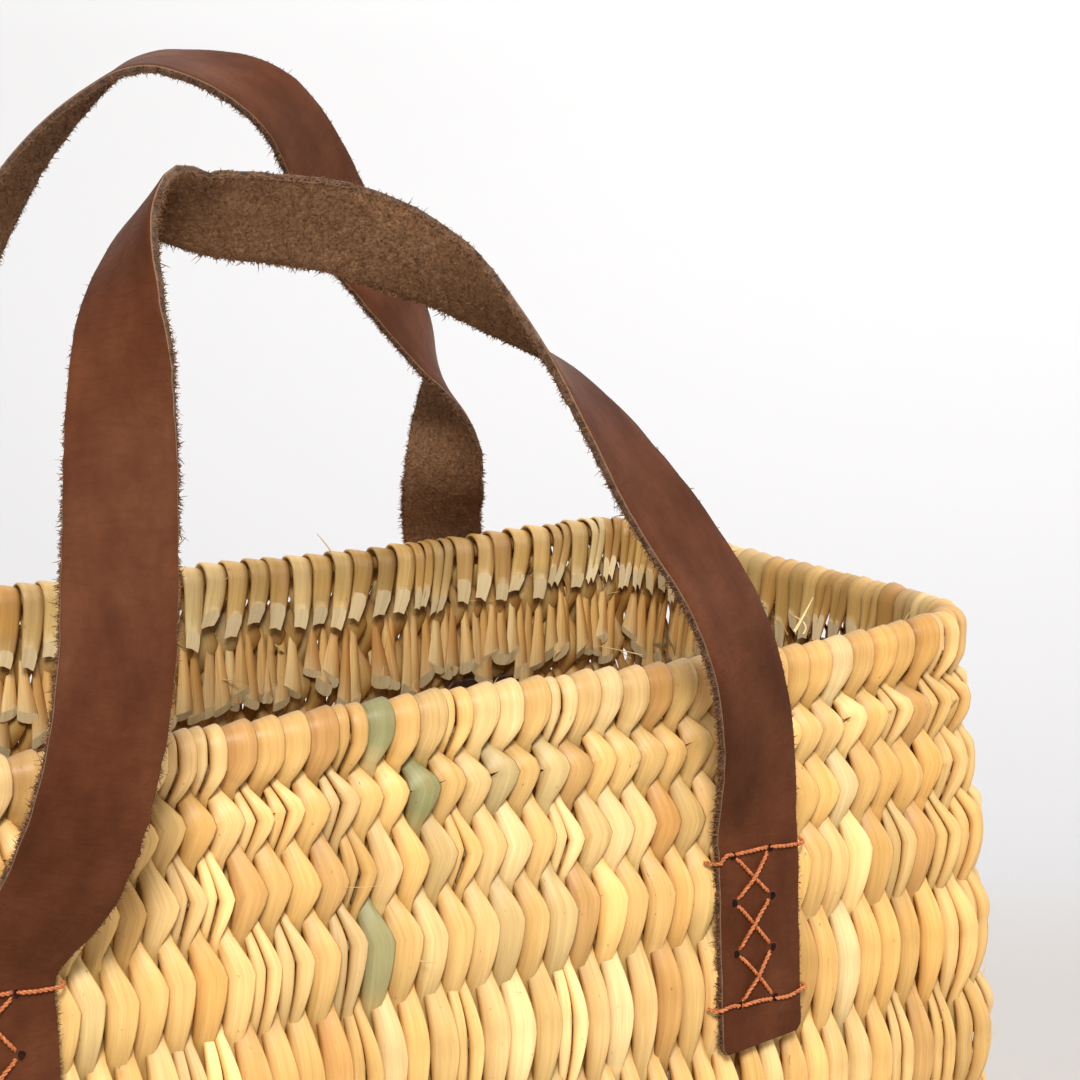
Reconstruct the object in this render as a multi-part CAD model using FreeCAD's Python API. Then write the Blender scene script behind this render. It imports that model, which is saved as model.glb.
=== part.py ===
import FreeCAD, Part
import math
import os

os.makedirs("parts", exist_ok=True)

# Woven market basket. Millimetres, +Z up, origin on the floor under the middle of the base,
# +X along the long side, the front wall at -Y.

# ---- driving dimensions
RIM_LENGTH = 443.0        # outside of the rim along X
RIM_WIDTH = 218.0         # outside of the rim along Y
HEIGHT = 290.0            # floor to the top of the rim
CORNER_RADIUS = 26.0      # outside of the rim, in plan
REED_COUNT = 288          # uprights round the wall
REED_THICK = 2.4
REED_WIDE = 3.75          # on the straight walls
REED_NARROW = 1.70        # round the corners, where the inner side is short of room
CORD_RADIUS = 2.0
WEAVE = 3.6               # how far a reed's middle stands off the wall's middle at a cord
RIM_CORE_RADIUS = 3.0
RIM_RING = 4.6            # middle of the reed that goes over the rim, from the core's axis
RIM_CORE_Z = HEIGHT - 5.7
STRAP_WIDTH = 30.0
STRAP_THICK = 3.0
STRAP_END_LOW = 125.0     # below the rim's top
STRAP_END_HIGH = 60.5
PATCH_THICK = 2.0
THREAD = 1.3
SWING_GAP = 2.6           # strap left out at a bending line
LEAN_GAP = 3.0

# depth of each horizontal cord below the rim's top: three close rows, then even ones
CORD_DEPTHS = [28.0, 49.5, 71.0, 107.0, 144.0, 181.0, 218.0, 255.0]

# how far the wall's middle stands outside the rim's middle, by depth below the rim's top
WALL_PROFILE = [(0, 0.0), (28, 3.0), (49.5, 5.0), (71, 8.5), (107, 10.3), (144, 13.0), (181, 14.5),
                (218, 13.5), (255, 8.5), (270, 4.0), (280, -1.0), (286, -8.0), (300, -10.0)]

BASE_CORD_Y = [-72.0, -36.0, 0.0, 36.0, 72.0]
BASE_MID_Z = WEAVE + REED_THICK / 2

RIM_INSET = 5.7           # rim's outside to the wall's middle at the rim
HALF_L = RIM_LENGTH / 2 - RIM_INSET
HALF_W = RIM_WIDTH / 2 - RIM_INSET
MID_R = CORNER_RADIUS - RIM_INSET

# strap centre line and width direction, from its left sewn end over the arch to its right one
FRONT_STATIONS = [
    (-122.0, -118.1, 226.2, 1.000, 0.000, -0.000),
    (-120.3, -118.8, 236.1, 0.949, 0.054, -0.309),
    (-115.6, -122.5, 244.3, 0.881, 0.085, -0.466),
    (-110.8, -127.1, 251.8, 0.891, -0.005, -0.453),
    (-107.6, -131.9, 259.9, 0.923, -0.125, -0.365),
    (-105.3, -136.0, 268.7, 0.939, -0.166, -0.301),
    (-103.1, -139.4, 277.9, 0.952, -0.145, -0.270),
    (-100.9, -141.5, 287.4, 0.961, -0.125, -0.246),
    (-98.5, -141.7, 297.1, 0.961, -0.137, -0.239),
    (-95.9, -140.2, 306.6, 0.958, -0.178, -0.225),
    (-93.2, -137.0, 315.7, 0.957, -0.221, -0.187),
    (-90.7, -132.8, 324.4, 0.957, -0.254, -0.141),
    (-88.3, -127.8, 332.7, 0.953, -0.285, -0.102),
    (-85.9, -122.5, 340.9, 0.945, -0.320, -0.068),
    (-83.5, -117.2, 349.1, 0.931, -0.362, -0.033),
    (-81.3, -112.1, 357.3, 0.909, -0.416, 0.005),
    (-79.1, -107.3, 365.8, 0.874, -0.484, 0.046),
    (-77.1, -102.9, 374.5, 0.821, -0.564, 0.090),
    (-75.3, -98.9, 383.3, 0.746, -0.651, 0.138),
    (-73.6, -95.1, 392.3, 0.644, -0.741, 0.190),
    (-72.0, -91.4, 401.2, 0.505, -0.830, 0.237),
    (-69.6, -87.6, 409.9, 0.336, -0.895, 0.295),
    (-66.4, -83.8, 418.1, 0.167, -0.917, 0.361),
    (-61.6, -79.9, 425.8, 0.029, -0.921, 0.388),
    (-54.3, -77.6, 432.2, 0.052, -0.853, 0.519),
    (-46.0, -77.2, 428.7, 0.172, -0.751, 0.637),
    (-36.4, -77.8, 426.9, 0.098, -0.647, 0.756),
    (-26.4, -78.0, 425.6, 0.087, -0.594, 0.800),
    (-16.4, -78.2, 424.4, 0.092, -0.577, 0.811),
    (-6.5, -78.7, 422.9, 0.120, -0.568, 0.814),
    (3.1, -79.9, 420.4, 0.159, -0.576, 0.802),
    (12.3, -81.8, 416.9, 0.173, -0.624, 0.762),
    (21.0, -84.2, 412.7, 0.132, -0.710, 0.691),
    (29.0, -87.3, 408.0, 0.044, -0.806, 0.590),
    (36.0, -91.0, 402.3, -0.081, -0.875, 0.477),
    (42.4, -95.0, 396.0, -0.233, -0.903, 0.362),
    (48.5, -99.2, 389.8, -0.382, -0.896, 0.227),
    (54.3, -103.3, 383.5, -0.513, -0.854, 0.085),
    (59.7, -107.2, 376.3, -0.618, -0.786, -0.030),
    (64.6, -110.8, 368.6, -0.695, -0.709, -0.116),
    (69.5, -114.2, 360.6, -0.755, -0.629, -0.185),
    (74.0, -117.3, 352.4, -0.802, -0.547, -0.240),
    (78.6, -120.3, 344.1, -0.829, -0.479, -0.289),
    (83.4, -123.5, 335.9, -0.842, -0.437, -0.315),
    (88.0, -126.5, 327.6, -0.848, -0.420, -0.324),
    (92.6, -129.3, 319.2, -0.852, -0.407, -0.330),
    (97.0, -131.2, 310.4, -0.863, -0.378, -0.335),
    (100.9, -132.2, 301.3, -0.878, -0.335, -0.341),
    (104.5, -132.1, 292.0, -0.894, -0.288, -0.343),
    (107.7, -131.0, 282.6, -0.909, -0.241, -0.339),
    (110.7, -129.0, 273.2, -0.925, -0.194, -0.326),
    (113.4, -126.4, 264.0, -0.942, -0.144, -0.305),
    (115.8, -123.3, 254.8, -0.956, -0.087, -0.280),
    (118.2, -120.1, 245.7, -0.967, -0.028, -0.254),
    (119.3, -118.0, 236.3, -0.986, -0.003, -0.166),
    (120.2, -117.1, 226.4, -1.000, 0.000, -0.000),
]

BACK_STATIONS = [
    (-124.0, 118.4, 226.0, -1.000, -0.000, 0.000),
    (-123.7, 118.3, 237.3, -0.997, -0.003, 0.080),
    (-122.3, 118.1, 248.6, -0.991, -0.032, 0.130),
    (-120.7, 118.6, 259.8, -0.982, -0.109, 0.157),
    (-118.9, 119.4, 270.8, -0.959, -0.216, 0.181),
    (-116.6, 119.3, 281.9, -0.939, -0.287, 0.191),
    (-113.6, 116.8, 292.5, -0.940, -0.273, 0.207),
    (-110.2, 112.7, 302.4, -0.947, -0.184, 0.264),
    (-106.5, 107.8, 311.8, -0.938, -0.058, 0.341),
    (-102.7, 103.1, 321.2, -0.909, 0.071, 0.410),
    (-98.6, 98.9, 330.9, -0.876, 0.171, 0.451),
    (-94.1, 95.8, 340.8, -0.858, 0.212, 0.467),
    (-89.1, 93.8, 350.8, -0.863, 0.180, 0.473),
    (-83.8, 92.6, 360.7, -0.875, 0.084, 0.476),
    (-78.5, 91.9, 370.5, -0.879, -0.051, 0.475),
    (-73.1, 91.3, 380.4, -0.864, -0.201, 0.462),
    (-67.6, 90.6, 390.1, -0.828, -0.353, 0.435),
    (-62.1, 89.6, 399.8, -0.774, -0.497, 0.393),
    (-56.4, 88.4, 409.4, -0.706, -0.622, 0.340),
    (-50.5, 86.8, 418.8, -0.642, -0.715, 0.277),
    (-44.4, 84.8, 428.1, -0.598, -0.773, 0.211),
    (-38.4, 82.5, 437.3, -0.567, -0.808, 0.161),
    (-31.8, 79.5, 445.9, -0.540, -0.834, 0.117),
    (-24.8, 76.0, 453.9, -0.508, -0.860, 0.058),
    (-17.3, 72.0, 461.2, -0.460, -0.888, -0.011),
    (-9.1, 67.7, 467.6, -0.417, -0.905, -0.086),
    (0.7, 62.9, 470.2, -0.410, -0.895, -0.173),
    (10.8, 58.3, 468.8, -0.418, -0.862, -0.288),
    (20.8, 54.5, 466.0, -0.420, -0.794, -0.439),
    (30.5, 51.9, 461.7, -0.447, -0.680, -0.581),
    (39.5, 51.5, 455.2, -0.509, -0.548, -0.664),
    (47.1, 54.0, 447.3, -0.591, -0.431, -0.682),
    (53.7, 57.7, 439.1, -0.657, -0.342, -0.672),
    (60.0, 61.9, 430.7, -0.696, -0.281, -0.661),
    (66.2, 66.1, 422.3, -0.707, -0.256, -0.659),
    (72.4, 70.5, 414.0, -0.708, -0.276, -0.650),
    (79.0, 73.3, 405.3, -0.703, -0.331, -0.629),
    (86.1, 74.6, 396.7, -0.687, -0.407, -0.602),
    (93.0, 75.6, 387.9, -0.661, -0.490, -0.568),
    (99.7, 76.8, 378.9, -0.619, -0.575, -0.535),
    (106.1, 78.2, 369.8, -0.538, -0.685, -0.492),
    (112.0, 80.1, 360.8, -0.387, -0.830, -0.401),
    (116.3, 82.3, 351.5, -0.126, -0.950, -0.285),
    (118.7, 84.8, 341.8, 0.207, -0.955, -0.212),
    (120.5, 87.5, 331.8, 0.507, -0.844, -0.174),
    (122.1, 90.9, 321.8, 0.726, -0.665, -0.174),
    (124.3, 96.8, 312.6, 0.846, -0.517, -0.127),
    (127.6, 104.4, 304.9, 0.888, -0.457, -0.053),
    (131.3, 112.3, 297.7, 0.892, -0.451, 0.013),
    (135.3, 119.3, 289.8, 0.886, -0.457, 0.084),
    (139.1, 124.3, 280.5, 0.893, -0.425, 0.145),
    (141.9, 126.1, 269.7, 0.922, -0.344, 0.176),
    (143.4, 124.3, 258.8, 0.961, -0.231, 0.152),
    (144.2, 121.4, 248.0, 0.988, -0.119, 0.098),
    (144.9, 118.7, 237.2, 0.998, -0.040, 0.042),
    (145.0, 118.1, 225.9, 1.000, 0.000, 0.000),
]

V = FreeCAD.Vector


def out(name, solids):
    shape = solids[0] if len(solids) == 1 else Part.makeCompound(solids)
    for s in solids:
        if not s.isValid() or s.Volume <= 0:
            print("BAD", name, s.isValid(), s.Volume)
    shape.exportStep("parts/%s.step" % name)


def interp(table, x):
    if x <= table[0][0]:
        return table[0][1]
    for (a, va), (b, vb) in zip(table, table[1:]):
        if x <= b:
            return va + (vb - va) * (x - a) / (b - a)
    return table[-1][1]


def flare(depth):
    return interp(WALL_PROFILE, depth)


# ---- plan of the wall's middle at the rim: a rounded rectangle, walked anticlockwise from the front's left end
SX = HALF_L - MID_R
SY = HALF_W - MID_R
ARC = math.pi * MID_R / 2
LENGTHS = [2 * SX, ARC, 2 * SY, ARC, 2 * SX, ARC, 2 * SY, ARC]
PERIMETER = sum(LENGTHS)


def plan(s):
    # point, outward normal, tangent, segment number
    s %= PERIMETER
    k = 0
    while s > LENGTHS[k]:
        s -= LENGTHS[k]
        k += 1
    if k % 2 == 0:
        side = k // 2
        n = [V(0, -1, 0), V(1, 0, 0), V(0, 1, 0), V(-1, 0, 0)][side]
        start = [V(-SX, -HALF_W, 0), V(HALF_L, -SY, 0), V(SX, HALF_W, 0), V(-HALF_L, SY, 0)][side]
        t = V(-n.y, n.x, 0)
        return start + t * s, n, t, k
    c = [V(SX, -SY, 0), V(SX, SY, 0), V(-SX, SY, 0), V(-SX, -SY, 0)][k // 2]
    a = [-90, 0, 90, 180][k // 2] + math.degrees(s / MID_R)
    n = V(math.cos(math.radians(a)), math.sin(math.radians(a)), 0)
    return c + n * MID_R, n, V(-n.y, n.x, 0), k


def ribbon_polygon(line, half):
    # closed outline of a flat line of points thickened by half on each side, mitred
    n = len(line)
    left, right = [], []
    for i in range(n):
        a = line[max(i - 1, 0)]
        b = line[i]
        c = line[min(i + 1, n - 1)]
        d1 = (b[0] - a[0], b[1] - a[1]) if i > 0 else (c[0] - b[0], c[1] - b[1])
        d2 = (c[0] - b[0], c[1] - b[1]) if i < n - 1 else d1
        l1, l2 = math.hypot(*d1), math.hypot(*d2)
        n1, n2 = (-d1[1] / l1, d1[0] / l1), (-d2[1] / l2, d2[0] / l2)
        m = (n1[0] + n2[0], n1[1] + n2[1])
        k = half * 2 / (m[0] ** 2 + m[1] ** 2)
        left.append((b[0] + m[0] * k, b[1] + m[1] * k))
        right.append((b[0] - m[0] * k, b[1] - m[1] * k))
    return left + right[::-1]


def extruded(outline, place, along, width):
    pts = [place(r, z) - along * (width / 2) for r, z in outline]
    face = Part.Face(Part.makePolygon(pts + [pts[0]]))
    solid = face.extrude(along * width)
    if solid.Volume < 0:
        solid.reverse()
    return solid


# ---- upright reeds: alternate ones stand outside over alternate cords
SPLICE_DEPTH = 240.0      # the upper length is butted here on the one turned up from the base
SPLICE_GAP = 0.3


def upright_line(odd):
    pts = []
    if odd:
        # outside the top cord, then in under the rim, where it is cut off
        pts.append((-3.2, HEIGHT - 12.0))
        pts.append((WEAVE + flare(28) - 0.3, HEIGHT - 24.0))
    else:
        # behind the top cord, out and over the rim, and down inside to its cut end
        pts.append((-RIM_RING + 0.2, HEIGHT - 20.0))
        for a in (180, 135, 90, 45, 0):
            a = math.radians(a)
            pts.append((RIM_RING * math.cos(a), RIM_CORE_Z + RIM_RING * math.sin(a)))
    for k, d in enumerate(CORD_DEPTHS):
        side = 1 if (k % 2 == 0) == odd else -1
        pts.append((side * WEAVE + flare(d), HEIGHT - d))
    last = 1 if (len(CORD_DEPTHS) % 2 == 0) == odd else -1
    pts.append((flare(276) + 0.4 * last, HEIGHT - 276.0))
    pts.append((flare(284) - 0.5, 6.3 + 0.3 * last))
    pts.append((flare(284) - 5.0, 4.6))
    return pts


def spliced(line):
    # the same line as two lengths with a hair's gap between them
    z = HEIGHT - SPLICE_DEPTH
    for i, ((r0, z0), (r1, z1)) in enumerate(zip(line, line[1:])):
        if z0 > z >= z1 and i > len(line) - 6:
            def at(h):
                return (r0 + (r1 - r0) * (z0 - h) / (z0 - z1), h)
            return line[:i + 1] + [at(z + SPLICE_GAP / 2)], [at(z - SPLICE_GAP / 2)] + line[i + 1:]
    return line, []


OUTLINES = {odd: [ribbon_polygon(part, REED_THICK / 2) for part in spliced(upright_line(odd))] for odd in (True, False)}
NAMES = ["front_reeds", "front_right_corner_reeds", "right_end_reeds", "back_right_corner_reeds",
         "back_reeds", "back_left_corner_reeds", "left_end_reeds", "front_left_corner_reeds"]
groups = {n: [] for n in NAMES}
pitch = PERIMETER / REED_COUNT
for i in range(REED_COUNT):
    place = (i + 0.5) * pitch
    p, n, t, k = plan(place)
    near = min(plan(place - pitch)[3] == k, plan(place + pitch)[3] == k)
    width = REED_WIDE if k % 2 == 0 and near else REED_NARROW
    for outline in OUTLINES[i % 2 == 0]:
        groups[NAMES[k]].append(extruded(outline, lambda r, z: p + n * r + V(0, 0, z), t, width))
for name in NAMES:
    out(name, groups[name])


# ---- horizontal cords and the rim's core: rounded rectangles of round section
def ring(offset, z, radius):
    r = MID_R + offset
    x, y = SX + r, SY + r
    c45 = math.cos(math.pi / 4)
    edges = [Part.LineSegment(V(0, -y, z), V(SX, -y, z)).toShape(),
             Part.Arc(V(SX, -y, z), V(SX + r * c45, -SY - r * c45, z), V(x, -SY, z)).toShape(),
             Part.LineSegment(V(x, -SY, z), V(x, SY, z)).toShape(),
             Part.Arc(V(x, SY, z), V(SX + r * c45, SY + r * c45, z), V(SX, y, z)).toShape(),
             Part.LineSegment(V(SX, y, z), V(-SX, y, z)).toShape(),
             Part.Arc(V(-SX, y, z), V(-SX - r * c45, SY + r * c45, z), V(-x, SY, z)).toShape(),
             Part.LineSegment(V(-x, SY, z), V(-x, -SY, z)).toShape(),
             Part.Arc(V(-x, -SY, z), V(-SX - r * c45, -SY - r * c45, z), V(-SX, -y, z)).toShape(),
             Part.LineSegment(V(-SX, -y, z), V(0, -y, z)).toShape()]
    path = Part.Wire(edges)
    circle = Part.Wire([Part.makeCircle(radius, V(0, -y, z), V(1, 0, 0))])
    return path.makePipeShell([circle], True, False)


def as_solid(s):
    if s.ShapeType != "Solid":
        s = s.Solids[0] if s.Solids else Part.makeSolid(Part.makeShell(s.Faces))
    if s.Volume < 0:
        s.reverse()
    return s


out("rim_core", [as_solid(ring(0.0, RIM_CORE_Z, RIM_CORE_RADIUS))])
for k, d in enumerate(CORD_DEPTHS):
    out("wall_cord_%d" % (k + 1), [as_solid(ring(flare(d), HEIGHT - d, CORD_RADIUS))])

# ---- base: lengthwise cords, and reeds woven flat across them
BASE_MARGIN = 11.4        # the wall's reeds turn in to here
BASE_HALF_X = HALF_L - BASE_MARGIN
BASE_HALF_Y = HALF_W - BASE_MARGIN
for k, y in enumerate(BASE_CORD_Y):
    out("base_cord_%d" % (k + 1), [Part.makeCylinder(CORD_RADIUS, 2 * BASE_HALF_X, V(-BASE_HALF_X, y, BASE_MID_Z), V(1, 0, 0))])
base_pitch = pitch
count = int((2 * BASE_HALF_X - 4) // base_pitch)
base = []
for i in range(count):
    x = (i - (count - 1) / 2.0) * base_pitch
    side = -1 if (i - count // 2) % 2 else 1      # the middle reed passes under the middle cord
    # the rounded corners of the base shorten the outer reeds
    over = max(0.0, abs(x) + REED_WIDE / 2 - SX)
    half = SY + math.sqrt((MID_R - BASE_MARGIN) ** 2 - over ** 2)
    line = [(-half, BASE_MID_Z)]
    for k, y in enumerate(BASE_CORD_Y):
        z = BASE_MID_Z + (side if k % 2 else -side) * WEAVE
        line += [(y - 1.5, z), (y + 1.5, z)]
    line.append((half, BASE_MID_Z))
    base.append(extruded(ribbon_polygon(line, REED_THICK / 2), lambda a, z: V(x, a, z), V(1, 0, 0), REED_WIDE))
out("base_reeds", base)


# ---- leather straps
def station(table, u):
    i = min(int(u), len(table) - 2)
    f = u - i
    a, b = table[i], table[i + 1]
    p = V(*[a[j] + (b[j] - a[j]) * f for j in range(3)])
    w = V(*[a[j] + (b[j] - a[j]) * f for j in range(3, 6)])
    w.normalize()
    i0, i1 = max(i - 1, 0), min(i + 2, len(table) - 1)
    tangent = V(*[table[i1][j] - table[i0][j] for j in range(3)])
    w = w - tangent * (w.dot(tangent) / tangent.dot(tangent))
    w.normalize()
    n = w.cross(tangent)
    n.normalize()
    return p, w, n


def strap(table, u0, u1):
    # closed strip of leather between two stations, with its grain side along n
    us = [u0] + [float(k) for k in range(int(math.ceil(u0 + 0.25)), int(math.floor(u1 - 0.25)) + 1)] + [u1]
    rings = []
    for u in us:
        p, w, n = station(table, u)
        a, h = w * (STRAP_WIDTH / 2), n * (STRAP_THICK / 2)
        rings.append([p - a - h, p + a - h, p + a + h, p - a + h])
    faces = []

    def tri(a, b, c):
        faces.append(Part.Face(Part.makePolygon([a, b, c, a])))

    for r, q in zip(rings, rings[1:]):
        for k in range(4):
            m = (k + 1) % 4
            tri(r[k], r[m], q[m])
            tri(r[k], q[m], q[k])
    for r in (rings[0], rings[-1]):
        faces.append(Part.Face(Part.makePolygon(r + [r[0]])))
    solid = Part.makeSolid(Part.makeShell(faces))
    if solid.Volume < 0:
        solid.reverse()
    return solid


def level_cut(solid, z):
    # what is left of a leg above height z
    rest = solid.cut(Part.makeBox(500, 400, z, V(-250, -200, 0)))
    return as_solid(max(rest.Solids, key=lambda c: c.Volume))


def height_station(table, z, start, stop, step):
    # station where the strap passes height z
    u = start
    while (stop - u) * step > 0:
        if (station(table, u)[0].z - z) * (station(table, u + step)[0].z - z) <= 0:
            return u + step / 2.0
        u += step
    return stop


def outer_face(depth):
    # distance from the middle plane to the outside crests of a long wall
    return HALF_W + 8.5 + 0.05 * (depth - 71.0) + WEAVE + REED_THICK / 2


def inner_face(depth):
    return HALF_W + 8.5 + 0.05 * (depth - 71.0) - WEAVE - REED_THICK / 2


def plate(x, side, d0, d1, face, thick, width, skew=0.0):
    # flat piece lying on a wall's inclined face between two depths; skew slants its lower edge
    y0, y1 = side * face(d0), side * face(d1)
    g = side * thick
    rim = []
    for xx, dd in ((x - width / 2, d0), (x + width / 2, d0), (x + width / 2, d1 - skew), (x - width / 2, d1 + skew)):
        y = side * face(dd)
        rim.append(V(xx, y, HEIGHT - dd))
    low = Part.Face(Part.makePolygon(rim + [rim[0]]))
    s = low.extrude(V(0, g, 0))
    if s.Volume < 0:
        s.reverse()
    return s


def bars(x, side, face, proud):
    # stitching on one face: two columns of four holes, three crosses, a bar across the top and the bottom,
    # and a short run from each corner hole over the strap's edge
    rows = [64.0, 80.7, 97.3, 114.0]
    half = 6.5
    solids = []

    def point(xx, d, h):
        return V(xx, side * (face(d) + proud * (h + THREAD / 2)), HEIGHT - d)

    def thread(pts):
        for a, b in zip(pts, pts[1:]):
            d = b - a
            d.normalize()
            q = V(0, 1, 0).cross(d)
            q.normalize()
            y = q.cross(d)
            c = [a + q * (i * THREAD / 2) + y * (j * THREAD / 2) for i, j in ((-1, -1), (1, -1), (1, 1), (-1, 1))]
            f = Part.Face(Part.makePolygon(c + [c[0]]))
            s = f.extrude(b - a)
            if s.Volume < 0:
                s.reverse()
            solids.append(s)

    for r0, r1 in zip(rows, rows[1:]):
        dx, dz = 2 * half, r1 - r0
        k = 1.7 / math.hypot(dx, dz)
        thread([point(x - half + dx * k, r0 + dz * k, 0.05), point(x + half - dx * k, r1 - dz * k, 0.05)])
        thread([point(x + half - dx * k, r0 + dz * k, THREAD + 0.15), point(x - half + dx * k, r1 - dz * k, THREAD + 0.15)])
    for d in (rows[0] - 0.9, rows[-1] + 0.9):
        thread([point(x - STRAP_WIDTH / 2 - 3.0, d, 0.05), point(x + STRAP_WIDTH / 2 + 3.0, d, 0.05)])
    return solids


FRONT_ENDS = (-122.0, 120.2)
BACK_ENDS = (-124.0, 145.0)
CLEAR = 0.25
for wall, side, table, ends in (("front", -1, FRONT_STATIONS, FRONT_ENDS), ("back", 1, BACK_STATIONS, BACK_ENDS)):
    n = len(table) - 1
    z_swing = HEIGHT - STRAP_END_HIGH
    z_lean = HEIGHT + 6.0
    a1 = height_station(table, z_lean - LEAN_GAP / 2, 3.0, 20.0, 0.02)
    a2 = height_station(table, z_lean + LEAN_GAP / 2, 3.0, 20.0, 0.02)
    b1 = height_station(table, z_lean - LEAN_GAP / 2, n - 3.0, 30.0, -0.02)
    b2 = height_station(table, z_lean + LEAN_GAP / 2, n - 3.0, 30.0, -0.02)
    out(wall + "_strap_left_leg", [level_cut(strap(table, 0.0, a1), z_swing + SWING_GAP)])
    out(wall + "_strap_right_leg", [level_cut(strap(table, b1, float(n)), z_swing + SWING_GAP)])
    out(wall + "_strap_arch", [strap(table, a2, b2)])
    for name, u in (("left", (a1 + a2) / 2), ("right", (b1 + b2) / 2)):
        p = station(table, u)[0]
        print(wall, "lean axis", name, [round(c, 2) for c in p])
    for name, x, skew in (("left", ends[0], 0.6), ("right", ends[1], 2.2)):
        tab = plate(x, side, STRAP_END_HIGH, STRAP_END_LOW, lambda d: outer_face(d) + CLEAR, STRAP_THICK, STRAP_WIDTH, skew)
        out("%s_strap_%s_end" % (wall, name), [tab])
        patch = plate(x, side, 58.0, 122.0, lambda d: inner_face(d) - CLEAR - PATCH_THICK, PATCH_THICK, 31.0)
        out("%s_%s_backing_patch" % (wall, name), [patch])
        stitches = bars(x, side, lambda d: outer_face(d) + CLEAR + STRAP_THICK, 1.0)
        stitches += bars(x, side, lambda d: inner_face(d) - CLEAR - PATCH_THICK, -1.0)
        out("%s_%s_stitching" % (wall, name), stitches)
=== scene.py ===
import bpy
import math
import random
import numpy as np
from mathutils import Vector, Matrix


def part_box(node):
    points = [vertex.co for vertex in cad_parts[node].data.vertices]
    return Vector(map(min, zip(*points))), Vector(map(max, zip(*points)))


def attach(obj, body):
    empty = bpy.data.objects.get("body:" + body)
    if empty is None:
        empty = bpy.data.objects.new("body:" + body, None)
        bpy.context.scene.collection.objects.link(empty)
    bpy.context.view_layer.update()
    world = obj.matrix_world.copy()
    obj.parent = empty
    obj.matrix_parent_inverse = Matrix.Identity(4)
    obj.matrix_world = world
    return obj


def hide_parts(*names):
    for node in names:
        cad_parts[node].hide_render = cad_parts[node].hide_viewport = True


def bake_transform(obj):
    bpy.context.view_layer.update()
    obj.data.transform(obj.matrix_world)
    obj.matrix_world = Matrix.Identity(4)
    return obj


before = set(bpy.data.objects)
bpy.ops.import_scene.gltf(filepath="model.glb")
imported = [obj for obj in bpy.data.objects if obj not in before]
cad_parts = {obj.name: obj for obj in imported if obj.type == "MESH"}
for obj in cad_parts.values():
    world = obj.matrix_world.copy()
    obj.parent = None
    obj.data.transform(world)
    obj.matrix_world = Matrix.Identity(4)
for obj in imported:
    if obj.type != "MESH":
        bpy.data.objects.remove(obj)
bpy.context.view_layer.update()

scene = bpy.context.scene
rng = np.random.default_rng(41)
MM = 0.001

# ------------------------------------------------------------------ sizes read from the frame
rim_lo, rim_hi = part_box("rim_core")
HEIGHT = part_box("front_reeds")[1].z
RIM_R = 0.0030
RIM_Z = 0.5 * (rim_lo.z + rim_hi.z)
HALF_L = 0.5 * (rim_hi.x - rim_lo.x) - RIM_R
HALF_W = 0.5 * (rim_hi.y - rim_lo.y) - RIM_R
MID_R = 0.0203
CORD_Z, CORD_OFF = [], []
for k in range(1, 9):
    lo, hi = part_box("wall_cord_%d" % k)
    CORD_Z.append(0.5 * (lo.z + hi.z))
    CORD_OFF.append(0.5 * (hi.x - lo.x) - 0.002 - HALF_L)
REEDS = 288
SX, SY = HALF_L - MID_R, HALF_W - MID_R
ARC = math.pi * MID_R / 2
LENS = [2 * SX, ARC, 2 * SY, ARC, 2 * SX, ARC, 2 * SY, ARC]
PERIM = sum(LENS)
PITCH = PERIM / REEDS

prof_d = np.array([0.0] + [HEIGHT - z for z in CORD_Z] + [0.270, 0.280, 0.286, 0.300])
prof_o = np.array([0.0] + CORD_OFF + [0.004, -0.001, -0.008, -0.010])


def flare(d):
    return np.interp(d, prof_d, prof_o)


def plan(s):
    # numpy: arc length -> base point of the wall's middle, outward normal
    s = np.mod(np.asarray(s, float), PERIM)
    bx, by, nx, ny = (np.zeros_like(s) for _ in range(4))
    acc = 0.0
    corners = [(SX, -SY, -90), (SX, SY, 0), (-SX, SY, 90), (-SX, -SY, 180)]
    starts = [(-SX, -HALF_W, 1, 0), (HALF_L, -SY, 0, 1), (SX, HALF_W, -1, 0), (-HALF_L, SY, 0, -1)]
    for k in range(8):
        m = (s >= acc) & (s <= acc + LENS[k] + 1e-12)
        q = s[m] - acc
        if k % 2 == 0:
            x0, y0, tx, ty = starts[k // 2]
            bx[m] = x0 + tx * q
            by[m] = y0 + ty * q
            nx[m] = ty
            ny[m] = -tx
        else:
            cx, cy, a0 = corners[k // 2]
            a = np.radians(a0) + q / MID_R
            nx[m] = np.cos(a)
            ny[m] = np.sin(a)
            bx[m] = cx + MID_R * nx[m]
            by[m] = cy + MID_R * ny[m]
        acc += LENS[k]
    return bx, by, nx, ny


def smooth_noise(count, amp, knots, seed):
    # closed smooth random line of count values
    g = np.random.default_rng(seed)
    v = g.normal(0, 1, knots)
    x = np.linspace(0, knots, count, endpoint=False)
    i = np.floor(x).astype(int)
    f = x - i
    f = f * f * (3 - 2 * f)
    return amp * (v[i % knots] * (1 - f) + v[(i + 1) % knots] * f)


RIM_WAVE = smooth_noise(1024, 0.0007, 26, 5) + smooth_noise(1024, 0.0004, 90, 6)
WALL_WAVE = smooth_noise(1024, 0.0009, 30, 7)


# the front rim sits a little lower than the back one
RIM_DIP = np.zeros(1024)
_sj = (np.arange(1024) + 0.5) / 1024 * PERIM
_mid = np.minimum(np.abs(_sj - SX), PERIM - np.abs(_sj - SX))
RIM_DIP[:] = -0.0023 * np.clip((SX + 0.012 - _mid) / 0.045, 0, 1)


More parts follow.
